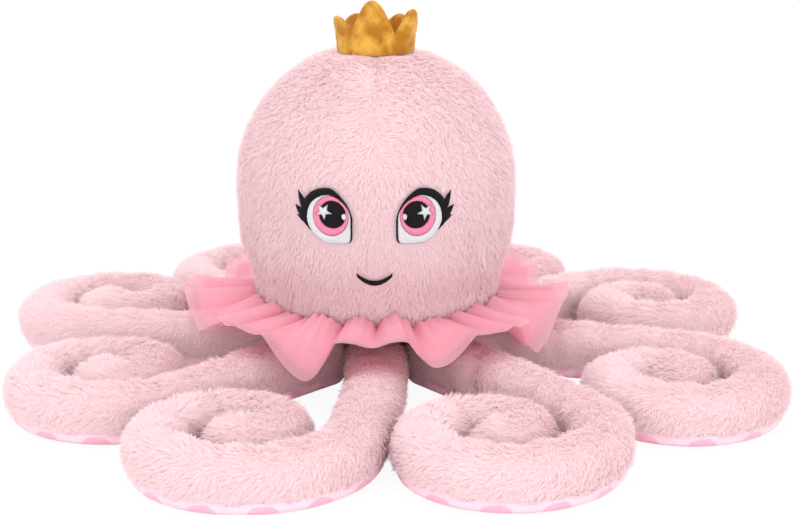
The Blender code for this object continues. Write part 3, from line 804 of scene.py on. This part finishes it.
# %% [markdown]
# The pile of an arm runs from its root to its tip and falls off to both sides. The arm is
# stuffed a little unevenly, and its cloth is drawn in on the inside of the curl, so the skin
# gets soft lumps and creases before the pile grows.

# %% Grow the arms' pile
ARM_PILE = 0.0085
ARM_SKIN_SINK = 0.0006  # how far the skin lies in from the CAD's
ARM_STRANDS = 36000
ARM_COLUMNS = 41
CREASES = 24
INNER_FULLNESS, INNER_PILE = 0.0030, 0.35  # inside the curl: a fuller skin, and a longer pile
ARC = (-SEAM_ANGLE, 180 + SEAM_ANGLE, ARM_COLUMNS)  # the plush, round the section
# How far each column of a section lies towards the inside of the curl, from 0 to 1
INNER_SIDE = (1 + np.cos(np.radians(np.linspace(*ARC)))) / 2


def creases(middle, seed):
    """How far the cloth is drawn in at each crease, most on the inside of the curl."""
    dice = np.random.default_rng(seed)
    gone = gone_along(middle[:, 0])[:, None]
    places = np.cumsum(dice.uniform(0.016, 0.034, CREASES)) + 0.03
    slant = 0.012 * (INNER_SIDE - 0.5) * dice.choice([-1, 1], CREASES)[:, None]
    depth = dice.uniform(0.0012, 0.0034, CREASES)
    drawn = np.zeros((len(gone), ARM_COLUMNS))
    for place, lean, deep in zip(places, slant, depth):
        drawn -= deep * np.exp(-(((gone - place - lean) / 0.0066) ** 2)) * (0.3 + 0.7 * INNER_SIDE)
    return drawn


for index, (name, rings, bearing) in enumerate(ARMS):
    skin_points = hung(rings, arm_section(*ARC), bearing)
    middle = hung(rings, CORE, bearing)
    outward = unit(skin_points - middle)
    soft = 0.0011 * lumps(skin_points, 0.030, index)
    soft = soft + 0.0004 * lumps(skin_points, 0.012, index + 5.0)
    soft = soft + creases(middle, index)
    curled = np.clip((np.arange(len(rings)) / len(rings) - 0.45) / 0.2, 0, 1)[:, None]
    soft = soft + INNER_FULLNESS * curled * INNER_SIDE**1.5
    free = np.clip((skin_points[..., 2] - 0.008) / 0.01, 0, 1)
    skin = Skin(skin_points + outward * (soft * free - ARM_SKIN_SINK)[..., None], middle)
    skin.lie = skin.lie + np.array([0, 0, -0.55]) + 0.45 * outward * (1, 1, 0)
    for size, share in ((0.028, 0.5), (0.010, 0.7)):
        stray = [lumps(skin_points, size, index + shift) for shift in (3.5, 13.5, 23.5)]
        skin.lie = skin.lie + share * np.stack(stray, -1)
    skin.lie = unit(skin.lie)
    near_seam = np.minimum(np.arange(ARM_COLUMNS), np.arange(ARM_COLUMNS)[::-1])
    skin.length = np.interp(near_seam, (0, 1, 4), (0.7, 0.8, 1))
    skin.length = skin.length * (1 + INNER_PILE * curled * INNER_SIDE)
    pile = furred(
        f"{name}_pile", skin, ARM_STRANDS, ARM_PILE, 60 + index, pink_plush, lean=66, tufts=15
    )
    settle(pile, name, f"{name}_plush")
print("strands on the arms:", ARM_COUNT * ARM_STRANDS)

# %% [markdown]
# ## Satin
#
# The soles and the base are a smooth satin with large printed spots. The spots are a formula on
# the cloth's own map, which is laid out in metres along the sole, so they keep their size round
# the curl. Where the sole is sewn to the plush it puckers, and that is in the mesh.

# %% Mix the satin and sew the soles
SPOT_SPACING, SPOT_RADIUS, SPOT_EDGE = 0.032, 0.0085, 700.0  # the edge is 1/700 m wide
WEAVE = 5200.0  # radians of weave to the metre

satin = Finish("spotted pink satin", Roughness=0.36, Sheen_Weight=0.25)
u, v = satin.cloth()
row = v / (SPOT_SPACING / 2)
step = (row + 0.5).math("FLOOR", row + 0.5)
shifted = u / SPOT_SPACING + step * 0.5
du = ((shifted + 0.5).fraction() - 0.5) * SPOT_SPACING
dv = (row - step) * (SPOT_SPACING / 2)
reach = (du * du + dv * dv) ** 0.5
spot = ((SPOT_RADIUS - reach) * SPOT_EDGE + 0.5).clipped()
weave = (u * WEAVE).sine() * (v * WEAVE).sine()
ground = satin.mix(satin.cloud(0.02), (0.955, 0.60, 0.69), (0.975, 0.67, 0.75))
satin.bump(weave * 0.5 + satin.cloud(0.006) * 1.5, 0.00025)
satin_pink = satin.colour(satin.mix(spot * 0.9, ground, (0.93, 0.40, 0.56)))


def cloth_object(name, points, finish, closed_across=False, closed_along=False, flip=False):
    """A sheet from a lattice of points, with a map named cloth that is laid out in metres."""
    rows, columns = points.shape[:2]
    corner = np.arange(rows * columns).reshape(rows, columns)
    if closed_across:
        corner = np.concatenate([corner, corner[:, :1]], 1)
    if closed_along:
        corner = np.concatenate([corner, corner[:1]], 0)
    quads = cells(corner, flip)
    item = mesh_object(name, points.reshape(-1, 3), quads.ravel(), [4] * len(quads), finish)
    middle = points[:, columns // 2]
    widest = points[np.argmax(np.linalg.norm(points[:, 0] - points[:, columns // 4], axis=1))]
    along, across = gone_along(middle), gone_along(widest)
    if closed_along:
        along = np.append(along, along[-1] + np.linalg.norm(middle[0] - middle[-1]))
    if closed_across:
        across = np.append(across, across[-1] + np.linalg.norm(widest[0] - widest[-1]))
    grid = np.stack(np.meshgrid(along, across - across.mean(), indexing="ij"), -1)
    spots = cells(grid, flip)
    item.data.uv_layers.new(name="cloth").data.foreach_set("uv", spots.astype(np.float32).ravel())
    return item


def sole_section(count=9):
    """From one seam, down to the flat of the sole, and up to the other."""
    seam = arm_section(-SEAM_ANGLE - 1, -SEAM_ANGLE - 1, 1)[0]
    corner = np.array([ARM_WIDTH / 2 * 0.93, -ARM_HEIGHT / 2])
    flat = np.array([ARM_WIDTH / 2 * SOLE_FLAT * 0.9, -ARM_HEIGHT / 2])
    t = np.linspace(0, 1, count)[:, None]
    side = (1 - t) ** 2 * seam + 2 * t * (1 - t) * corner + t**2 * flat
    across = np.linspace(flat[0], -flat[0], 7)[1:-1]
    bottom = np.stack([across, np.full(5, -ARM_HEIGHT / 2)], 1)
    return np.concatenate([side, bottom, side[::-1] * (-1, 1)])


PUCKER, PUCKER_TURN, SEAM_SINK = 0.0005, 1.7, 0.0008

for name, rings, bearing in ARMS:
    sole_points = hung(rings, sole_section(), bearing)
    middle = hung(rings, CORE, bearing)
    aside = np.linspace(-1, 1, sole_points.shape[1])
    seam_share = np.abs(aside) ** 3
    run = np.arange(len(rings))[:, None]
    pucker = PUCKER * np.sin(run * PUCKER_TURN + np.sign(aside)) * seam_share
    pucker = pucker - SEAM_SINK * seam_share
    sole_points = sole_points + unit(sole_points - middle) * pucker[..., None]
    sole_points[..., 2] = np.maximum(sole_points[..., 2], 0.0)
    outer = np.cross(np.gradient(sole_points, axis=0), np.gradient(sole_points, axis=1))
    flip = np.median(np.sum(outer * (sole_points - middle), -1)) < 0
    sole = cloth_object(f"{name}_satin_sole", sole_points, satin_pink, flip=flip)
    settle(sole, name, f"{name}_sole")
print("soles:", len(ARMS))

# %% [markdown]
# The base closes the toy underneath, between the roots of the arms. It is modelled step by step:
# a cylinder that is open at its top, its bottom inset so that a ring of stitches draws the satin
# in, and its edges bevelled.

# %% Model the base
bpy.ops.object.select_all(action="DESELECT")
bpy.ops.mesh.primitive_cylinder_add(
    vertices=64, radius=BASE_RADIUS, depth=BASE_HEIGHT, location=(0, 0, BASE_HEIGHT / 2)
)
base = bpy.context.object
base.name = "satin_base"
bpy.ops.object.transform_apply(location=True, rotation=True, scale=True)
bpy.ops.object.mode_set(mode="EDIT")
bpy.ops.mesh.select_all(action="DESELECT")
cage = bmesh.from_edit_mesh(base.data)
for face in cage.faces:
    face.select = face.normal.z < -0.9
bmesh.update_edit_mesh(base.data)
bpy.ops.mesh.inset(thickness=0.0035)
bpy.ops.mesh.inset(thickness=0.0012, depth=-0.0006)
bpy.ops.mesh.inset(thickness=0.0012, depth=0.0006)
bpy.ops.mesh.inset(thickness=0.014)
bpy.ops.mesh.select_all(action="DESELECT")
for face in cage.faces:
    face.select = face.normal.z > 0.9
bmesh.update_edit_mesh(base.data)
bpy.ops.mesh.delete(type="FACE")
bpy.ops.object.mode_set(mode="OBJECT")
rounding = base.modifiers.new("rounding", "BEVEL")
rounding.width, rounding.segments, rounding.limit_method = 0.0022, 3, "ANGLE"
bpy.ops.object.modifier_apply(modifier="rounding")
bpy.ops.object.shade_smooth_by_angle(angle=math.radians(50))
base.data.materials.append(satin_pink)
flat_map = base.data.uv_layers.new(name="cloth")
for loop in base.data.loops:
    place = base.data.vertices[loop.vertex_index].co
    flat_map.data[loop.index].uv = (place.x + 0.016, place.y + place.z)
settle(base, "head", "base_panel")
print("base:", len(base.data.polygons), "faces")

# %% [markdown]
# ## The ruffle
#
# Tulle is a fine soft net. Two long strips of it are gathered on a tape round the neck, so they
# stand in sharp pleats of uneven width where they are held, and open into soft ones towards the
# hem. The sheet rides over each arm and drops between two arms, and it is kept high to leave
# the arms room to lift. The under layer is cut shorter, so that the upper one's hem is sheer.
#
# The net is a pattern of holes on the cloth's own map, and it shows in the colour and in the
# alpha. Two marks on the mesh help it. One says how deep in a pleat's hollow a point lies, or how
# near the tape, and there a deeper rose is painted shade, where the light comes through several
# layers of net. The other says how near the hem it is, where the net is single: it is sheerer
# there, and its paler colour is painted light from behind.

# %% Mix the tulle
tulle = Finish("rose tulle", Roughness=0.75, Specular_IOR_Level=0.1)
u, v = tulle.cloth()
NET = 0.0019  # between two holes of the net
wave = (u * (math.tau / NET)).sine() * (v * (math.tau / NET)).sine()
hole = (wave * 1.6 - 0.3).clipped()
fold_shade, single = tulle.mark("fold_shade"), tulle.mark("single")
cast = tulle.mix(tulle.cloud(0.03), (0.935, 0.455, 0.555), (0.955, 0.51, 0.61))
# painted shade: a deeper rose in the pleats' hollows and by the tape
cast = tulle.mix(fold_shade, cast, (0.86, 0.29, 0.40))
# painted light: paler where the net hangs single at the hem, as if lit through from behind
cast = tulle.mix(single * 0.5, cast, (0.985, 0.66, 0.73))
tulle.put(tulle.shader.inputs["Alpha"], 0.96 - hole * 0.38 - single * 0.40)
net = tulle.mix(hole * 0.45, cast, (0.88, 0.33, 0.44))
rose_tulle = tulle.colour(net)
tulle.let_through(0.30, (0.93, 0.43, 0.53))

# %% Shape the two layers
TAPE_HEIGHT, TAPE_WIDTH, TAPE_THICKNESS = NECK_HEIGHT + 0.0060, 0.0060, 0.0012
RUFFLE_HEIGHT, RUFFLE_WIDTH, LAYER_STEP = TAPE_HEIGHT + 0.0040, 0.064, 0.0020
RUFFLE_RISE, RUFFLE_DROP, RUFFLE_TUCK, FOLD_MARGIN = 0.0080, 0.031, 0.012, 0.006
FOLD_SHARES = (0.6, 0.9, 0.8, 1.0, 0.9, 0.8, 0.6, 1.0)
PLEATS = 24
PLEAT_LEAST, PLEAT_MOST = 0.0065, 0.0130  # how far a pleat stands out
FRONT_SAG = 0.006  # how much lower the hem lies in front
UNDER_CUT = 0.86  # the under layer's width as a share of the upper one's
RUFFLE_ROWS, RUFFLE_STEPS = 48, 960
FLAT_WIDTH, FLAT_SHARE = 0.066, 0.85  # the strip's width, and its length as a share of the hem's


def head_radius(height):
    """The radius of the head below its widest ring."""
    share = (HEAD_MIDDLE - height) / HEAD_DEPTH
    return HEAD_RADIUS * (1 - share**LOWER_FULLNESS) ** (1 / LOWER_FULLNESS)


def hem_bearing(index, reach):
    """The bearing at which an arm's centre line passes out from under the hem."""
    line = arm_line(ARM_LIES[index])[::FINE, :2]
    x, y = HINGE_RADIUS + line[:, 0], line[:, 1]
    far = np.hypot(x, y)
    after = int(np.argmax(far > reach))
    share = (reach - far[after - 1]) / (far[after] - far[after - 1])
    x, y = (a[after - 1] + (a[after] - a[after - 1]) * share for a in (x, y))
    return arm_bearing(index) + math.atan2(y, x)


def hanging_folds():
    reach = head_radius(RUFFLE_HEIGHT) + 2 * CLEARANCE + TAPE_THICKNESS + RUFFLE_WIDTH
    found = [hem_bearing(index, reach) for index in range(ARM_COUNT)]
    folds = []
    for index, bearing in enumerate(found):
        between = (found[(index + 1) % ARM_COUNT] - bearing) % math.tau
        half = between / 2 - (ARM_WIDTH / 2 + FOLD_MARGIN) / reach
        folds.append((bearing + between / 2, half, FOLD_SHARES[index]))
    return folds


def turned_from(bearing, middle):
    return (bearing - middle + math.pi) % math.tau - math.pi


def ruffle_sheet(drop, seed, cut):
    """A layer's lattice from the tape to the hem, and how deep each point lies in a pleat's hollow
    or by the tape, for its painted shade.
    """
    share = np.linspace(0, cut, RUFFLE_ROWS)[:, None]
    bearing = np.linspace(0, math.tau, RUFFLE_STEPS, endpoint=False)[None]
    root = head_radius(RUFFLE_HEIGHT - drop) + 2 * CLEARANCE + TAPE_THICKNESS
    hang = sum(
        depth * np.cos(math.pi / 2 * np.minimum(1, np.abs(turned_from(bearing, middle)) / half))
        for middle, half, depth in hanging_folds()
    )
    rise = RUFFLE_RISE - FRONT_SAG * np.exp(-(turned_from(bearing, -math.pi / 2) ** 2))
    reach = root + share * (RUFFLE_WIDTH - RUFFLE_TUCK * hang)
    height = RUFFLE_HEIGHT - drop + share**1.5 * (rise - (rise + RUFFLE_DROP) * hang)
    slope = np.gradient(height, axis=0), np.gradient(reach, axis=0)
    steep = np.hypot(*slope)

    dice = np.random.default_rng(8)
    border = math.tau * (np.arange(PLEATS) + dice.uniform(-0.32, 0.32, PLEATS)) / PLEATS
    border = np.append(border, border[0] + math.tau)
    tall = dice.uniform(PLEAT_LEAST, PLEAT_MOST, PLEATS)
    drift = bearing + share * (0.06 * np.sin(3 * bearing + 1) + 0.035 * np.sin(8 * bearing))
    drift = (drift - border[0]) % math.tau + border[0]
    cell = np.clip(np.searchsorted(border, drift, side="right") - 1, 0, PLEATS - 1)
    phase = (drift - border[cell]) / (border[cell + 1] - border[cell])
    crisp, soft = np.abs(np.sin(math.pi * phase)) ** 0.65, (1 - np.cos(math.tau * phase)) / 2
    arch = crisp * (1 - share) + soft * share
    puff = tall[cell] * arch * np.minimum(1, share / 0.13) * (1 - 0.68 * share)
    uneven = 0.5 + 0.5 * np.sin(5 * bearing + 2) * np.sin(13 * bearing)
    crimp = (0.0010 + 0.0012 * uneven) * np.sin(84 * bearing + 3.0 * np.sin(7 * bearing))
    crimp = crimp * np.exp(-share / (0.2 + 0.3 * uneven))
    puff = (puff + crimp * np.minimum(1, share / 0.04)) * (1 - 0.08 * drop / LAYER_STEP)
    reach = reach - puff * slope[0] / steep
    height = height + puff * slope[1] / steep
    hem = share**6 * 0.0012 * lumps(around(bearing, 1, 0 * bearing), 0.09, seed)
    # painted shade: deep in the pleats' hollows, and most of all by the tape
    deep = (1 - arch) ** 1.3 * (0.25 + 0.75 * np.exp(-share / 0.35)) + 0.6 * np.exp(-share / 0.06)
    return around(bearing, reach, height + hem), np.clip(deep, 0, 1)


LAYERS = (
    ("ruffle_upper", 0.0, 1.0, 1.0, "ruffle_upper_layer"),
    ("ruffle_under", LAYER_STEP, 9.0, UNDER_CUT, "ruffle_under_layer"),
)
for name, drop, seed, cut, node in LAYERS:
    ring, deep = ruffle_sheet(drop, seed, cut)
    layer = cloth_object(name, ring, rose_tulle, closed_across=True, flip=True)
    alone = np.clip((np.linspace(0, cut, RUFFLE_ROWS)[:, None] - 0.5) / 0.4, 0, 1)
    # the first mark is painted shade; the second makes the hem sheer, and its paler colour is
    # painted light
    for mark, values in (("fold_shade", deep), ("single", alone * (1 - 0.5 * deep))):
        held = layer.data.attributes.new(mark, "FLOAT", "POINT")
        held.data.foreach_set("value", values.astype(np.float32).ravel())
    hem_length = float(np.linalg.norm(np.diff(ring[-1], axis=0), axis=1).sum())
    settle(layer, "head", node)
    flat = (round(hem_length * FLAT_SHARE, 2), round(FLAT_WIDTH * cut, 3))
    print(name, "hem", round(hem_length, 3), "m")

# %% [markdown]
# The tape that carries the gathers is hidden under the pile. It is a flat band, drawn up into
# narrow ribs by its thread.

# %% Model the gathering tape
turn = np.linspace(0, math.tau, 720, endpoint=False)[None]
girth = np.linspace(0, math.tau, 16, endpoint=False)[:, None]
up = np.sin(girth) * TAPE_WIDTH / 2
thick = np.cos(girth) * TAPE_THICKNESS / 2 * (0.72 + 0.28 * np.sin(90 * turn))
height = TAPE_HEIGHT + TAPE_WIDTH / 2 + up + 0 * turn
reach = head_radius(height) + CLEARANCE + TAPE_THICKNESS / 2 + thick
band = around(turn, reach, height)
tape = cloth_object(
    "gathering_tape", band, rose_tulle, closed_across=True, closed_along=True, flip=True
)
settle(tape, "head", "ruffle_tape")

# %% [markdown]
# ## The crown
#
# The crown is a padded band of gold velour, sewn closed at its edge and stuffed a little, so it
# is thick in the middle, thin at the edge and dented by the thumb that set it. Velour has a
# very short pile. It is grown in the same way as the plush, at an eighth of the length. Its light
# and dark patches are painted sheen, where pile brushed one way or the other catches more or less
# of the light, and its nap is painted darker towards the roots as shade.

# %% Mix the velour and shape the crown
CROWN_RADIUS, CROWN_BAND = 0.0300, 0.0155
CROWN_PEAKS = (0.0425, 0.0340, 0.0270, 0.0270, 0.0285)  # each point's height, front one first
CROWN_POINTS, CROWN_TURN, CROWN_FULLNESS, CROWN_FLARE = 5, -94.0, 0.62, 0.0045
VELOUR_THICKNESS, LINING_THICKNESS, LINING_DROP = 0.0030, 0.0015, 0.0012
VELOUR_PILE = 0.0012

gold = Finish(
    "gold velour",
    Roughness=0.55, Specular_IOR_Level=0.15, Sheen_Weight=0.2, Sheen_Tint=(1.0, 0.75, 0.35),
)
along, tint, tuft = gold.strand()
# painted sheen: light and dark patches where brushed pile catches the light, over a random tint
# per blade and tuft
painted_sheen_and_tint = (gold.cloud(0.015, 3.0) - 0.5) * 4.4 + 0.5 + (tuft - 0.5) * 0.3 + (tint - 0.5) * 0.5
nap = gold.mix(painted_sheen_and_tint.clipped(), (0.45, 0.175, 0.010), (0.92, 0.54, 0.09))
# painted shade: the nap is darker towards its roots, where less light reaches
gold_velour = gold.colour(gold.mix((1.0 - along) * 0.45, nap, (0.34, 0.13, 0.008)))


def crown_edge(bearing):
    """The height of the crown's edge above its foot."""
    spacing = math.tau / CROWN_POINTS
    peak = np.array(CROWN_PEAKS)[np.round(bearing / spacing).astype(int) % CROWN_POINTS]
    wave = (1 + np.cos(math.tau * bearing / spacing)) / 2
    return CROWN_BAND + (peak - CROWN_BAND) * wave**CROWN_FULLNESS


def crown_skin(radius, thickness, drop, puff, seed):
    """From the foot, up the outside, over the edge and down the inside."""
    bearing = np.linspace(0, math.tau, 241)[None]
    rounding = 0.93 + 0.07 * np.sin(np.linspace(0, math.pi / 2, 7))
    outer = np.concatenate([np.linspace(0, 0.93, 26), rounding[1:]])
    share = np.concatenate([outer, outer[::-1][1:]])[:, None]
    inner_side = (np.arange(len(share)) >= len(outer) - 1)[:, None]
    edge = np.sqrt(np.clip((1 - share) / 0.07, 0, 1))
    half = thickness / 2 * edge * np.where(inner_side, -1, 1)
    height = share * (crown_edge(bearing) - drop)
    full = puff * np.sin(math.pi * np.minimum(share / 0.99, 1)) ** 0.45
    full = full * np.where(inner_side, -0.5, 1)
    full = full * (0.5 + np.clip((height - CROWN_BAND) / 0.012, 0, 1))
    reach = radius + CROWN_FLARE * (height / CROWN_PEAKS[0]) ** 2 + half + full
    turn = bearing + math.radians(CROWN_TURN)
    spots = around(turn, reach, foot + height)
    outward = around(turn, 1 + 0 * reach, 0 * reach)
    on_sheet = spots - outward * (half + full)[..., None]
    dents = 0.0016 * lumps(on_sheet, 0.013, seed) + 0.0007 * lumps(on_sheet, 0.006, seed + 3)
    low = np.clip(height / 0.004, 0.25, 1) * (0.35 + 0.65 * edge)
    spots = spots + outward * (dents * low)[..., None]
    spots[:, -1] = spots[:, 0]
    return Skin(spots, np.array([0, 0, foot + 0.012]))


inside_radius = CROWN_RADIUS - VELOUR_THICKNESS - CLEARANCE - LINING_THICKNESS
seat = (1 - (inside_radius / HEAD_RADIUS) ** UPPER_FULLNESS) ** (1 / UPPER_FULLNESS)
foot = HEAD_MIDDLE + HEAD_RISE * seat + CLEARANCE
velour_skin = crown_skin(CROWN_RADIUS - VELOUR_THICKNESS / 2, VELOUR_THICKNESS, 0, 0.0022, 2.0)
lining_radius = inside_radius + LINING_THICKNESS / 2
lining_skin = crown_skin(lining_radius, LINING_THICKNESS, LINING_DROP, 0.0, 2.0)
for name, skin, count, node, slot in (
    ("crown_band", velour_skin, 26000, "crown_velour", "gold_velour"),
    ("crown_inner_band", lining_skin, 9000, "crown_lining", "gold_lining"),
):
    piece = furred(
        name, skin, count, VELOUR_PILE, 90, gold_velour, lean=48, gather=0.25, width=0.00042
    )
    settle(piece, "head", node)
print("crown foot at", round(foot, 4))

# %% [markdown]
# ## The embroidery
#
# Machine stitches fill each field side by side. A field is a thin raised pad that is rounded at
# its edge, and a little frayed, as each stitch ends where its needle went in. Blender has no
# operator that fills an outline with even small triangles, so its Delaunay function does that
# from the outline and a grid of inner points. Each point is then sent straight back onto the
# head's skin, as a needle would go, and raised by the thread.

# %% Stitch the fields
STITCH_STEP = 0.00055
THREAD_STEP, STITCH_LENGTH = 0.00048, 0.0042
FRAY = 0.00022
FIELD_HEIGHT, FIELD_EDGE = 0.0042, 0.0028  # above the skin, and where it has sunk at its edge

skin_spots = [Vector(p) for p in head_skin.points.reshape(-1, 3)]
skin_tree = BVHTree.FromPolygons(skin_spots, head_skin.faces().tolist())


def thread_finish(name, colour, deep, turn):
    """Close parallel stitches that run at an angle across the face, with painted shade between
    them.
    """
    made = Finish(name, Roughness=0.42, Specular_IOR_Level=0.1)
    u, v = made.cloth()
    across = u * math.cos(turn) + v * math.sin(turn)
    along = v * math.cos(turn) - u * math.sin(turn)
    uneven = made.cloud(0.0025) * 1.2
    rows = (across * (math.tau / THREAD_STEP) + uneven).sine() * 0.5 + 0.5
    ends = (along * (math.tau / STITCH_LENGTH) + across * 900.0).sine() * 0.5 + 0.5
    made.bump(rows * 0.8 + ends * 0.2, 0.00022)
    # painted shade: the deep colour lies in the grooves between rows and where stitches end
    return made.colour(made.mix((1.0 - rows) * 0.45 + ends * 0.12, colour, deep))


# each thread's second colour is its painted shade between the stitches
black_thread = thread_finish("black thread", (0.011, 0.010, 0.013), (0.004, 0.004, 0.005), 1.2)
white_thread = thread_finish("white thread", (0.74, 0.76, 0.79), (0.52, 0.54, 0.58), 0.3)
rose_thread = thread_finish("rose thread", (0.90, 0.285, 0.42), (0.70, 0.15, 0.27), 0.5)


def densified(outline):
    """The outline with a point every stitch, and its corners kept."""
    found = []
    for start, end in zip(outline, np.roll(outline, -1, axis=0)):
        count = max(1, round(float(np.linalg.norm(end - start)) / STITCH_STEP))
        found += [start + (end - start) * i / count for i in range(count)]
    return np.array(found)


def frayed(outline):
    """The outline a little uneven, as each stitch ends where its needle went in."""
    stray = [lumps(np.insert(outline, 1, shift, 1), 0.0011) for shift in (0.0, 0.005)]
    return outline + FRAY * np.stack(stray, 1)


def field(name, node, keep, holes, finish, slot):
    """A pad of stitches inside every outline of keep and outside every outline of holes."""
    rings = [frayed(densified(outline)) for outline in (*keep, *holes)]
    low, high = rings[0].min(0), rings[0].max(0)
    x, y = np.meshgrid(*(np.arange(low[k], high[k], STITCH_STEP) for k in (0, 1)))
    x = x + (np.arange(x.shape[0]) % 2)[:, None] * STITCH_STEP / 2
    loose = np.stack([x.ravel(), y.ravel()], 1)
    for ring in rings:
        loose = loose[away(loose, ring)[0] > STITCH_STEP * 0.5]
    spots = np.concatenate([loose, *rings])
    edges, start = [], len(loose)
    for ring in rings:
        edges += [(start + i, start + (i + 1) % len(ring)) for i in range(len(ring))]
        start += len(ring)
    filled = geometry.delaunay_2d_cdt([Vector(p) for p in spots], edges, [], 0, 1e-7)
    flat = np.array([tuple(p) for p in filled[0]])
    corners = np.array([face for face in filled[2] if len(face) == 3])
    centres = flat[corners].mean(axis=1)
    wanted = np.ones(len(corners), bool)
    for ring in rings[: len(keep)]:
        wanted &= inside(centres, ring)
    for ring in rings[len(keep) :]:
        wanted &= ~inside(centres, ring)
    corners = corners[wanted]
    span = flat[corners[:, 1:]] - flat[corners[:, :1]]
    clockwise = span[:, 0, 0] * span[:, 1, 1] < span[:, 0, 1] * span[:, 1, 0]
    corners[clockwise] = corners[clockwise][:, ::-1]
    used, corners = np.unique(corners, return_inverse=True)
    flat, corners = flat[used], corners.reshape(-1, 3)
    rim = np.min([away(flat, ring)[0] for ring in rings], axis=0)
    rise = FIELD_HEIGHT - (FIELD_HEIGHT - FIELD_EDGE) * np.exp(-rim / 0.0007)
    placed = []
    for (across, up), lift in zip(flat, rise):
        hit, normal, _, _ = skin_tree.ray_cast(Vector((across, -1, up)), Vector((0, 1, 0)))
        placed.append(hit + normal * lift)
    item = mesh_object(name, np.array(placed), corners.ravel(), [3] * len(corners), finish)
    spots = flat[corners.ravel()].astype(np.float32)
    item.data.uv_layers.new(name="cloth").data.foreach_set("uv", spots.ravel())
    backing = item.modifiers.new("backing", "SOLIDIFY")
    backing.thickness, backing.offset = 0.0012, -1
    bpy.ops.object.select_all(action="DESELECT")
    bpy.context.view_layer.objects.active = item
    item.select_set(True)
    bpy.ops.object.modifier_apply(modifier="backing")
    settle(item, "head", node)


def inner_part(outline, other):
    """The points of an outline that lie inside another, with those of the other inside it."""
    first, second = densified(outline), densified(other)
    both = np.concatenate([first[inside(first, other)], second[inside(second, outline)]])
    centre = both.mean(0)
    order = np.argsort(np.arctan2(*(both - centre).T[::-1]))
    return both[order]


iris = inner_part(ellipse((0, 0), IRIS_SIZE), opening_outline())
pupil = ellipse(PUPIL_CENTRE, PUPIL_SIZE)
glint = ellipse(GLINT_CENTRE, GLINT_SIZE, 32)
star = star_outline()
FIELDS = (
    ("lashes", [lid_outline()], [opening_outline()], black_thread, "black_thread"),
    ("white", [opening_outline()], [iris], white_thread, "white_thread"),
    ("iris", [iris], [pupil, star, glint], rose_thread, "rose_thread"),
    ("pupil", [pupil], [star, glint], black_thread, "black_thread"),
    ("star", [star], [], white_thread, "white_thread"),
    ("glint", [glint], [], white_thread, "white_thread"),
)
for eye, side_of_face in (("right_eye", 1), ("left_eye", -1)):
    for name, keep, holes, finish, slot in FIELDS:
        placed = [[on_face(line, side_of_face) for line in group] for group in (keep, holes)]
        field(f"{eye}_{name}_stitches", f"{eye}_{name}", *placed, finish, slot)
field("mouth_stitches", "mouth", [mouth], [], black_thread, "black_thread")
print("fields:", 2 * len(FIELDS) + 1)

# %% [markdown]
# ## The filling
#
# Polyester fibre is packed into the head and the arms. Nothing shows it while the seams hold,
# but the model can be opened, so each filling is its own lumpy mass inside its skins.

# %% Pack the filling
fibre = Finish("white polyester fibre", Roughness=0.95)
fibre.bump(fibre.cloud(0.004, 6.0), 0.001)
white_fibre = fibre.colour(
    fibre.mix(fibre.cloud(0.012, 4.0), (0.80, 0.79, 0.77), (0.93, 0.92, 0.90))
)


def packed(name, points, body, node, middle):
    """A closed lumpy mass from a tube of points, drawn to a point at both ends."""
    outward = unit(points - middle)
    inset = 0.0036 + 0.0008 * lumps(points, 0.011, 4.0)
    points = points - outward * inset[..., None]
    ends = points[[0, -1]].mean(axis=1)[:, None] + 0 * points[[0, -1]]
    points = np.concatenate([ends[:1], points, ends[1:]])
    outer = np.cross(np.gradient(points, axis=0), np.gradient(points, axis=1))
    flip = np.median(np.sum(outer[1:-1] * outward, -1)) < 0
    mass = cloth_object(name, points, white_fibre, closed_across=True, flip=flip)
    bm = bmesh.new()
    bm.from_mesh(mass.data)
    bmesh.ops.remove_doubles(bm, verts=bm.verts, dist=1e-6)
    bm.to_mesh(mass.data)
    bm.free()
    settle(mass, body, node)


ball = head_skin.points[:-14:2, :-1:2]
stand = np.linspace(ball[-1] * (0.45, 0.45, 1), ball[-1] * (0.45, 0.45, 0) + (0, 0, 0.006), 6)[1:]
packed("head_fibre", np.concatenate([ball, stand]), "head", "head_filling", HEAD_CENTRE)
section = np.concatenate([arm_section(-20, 200, 17), sole_section()[::-2][1:-1]])
for name, rings, bearing in ARMS:
    tube, middle = (hung(rings[8:-8:3], shape, bearing) for shape in (section, CORE))
    packed(f"{name}_fibre", tube, name, f"{name}_filling", middle)
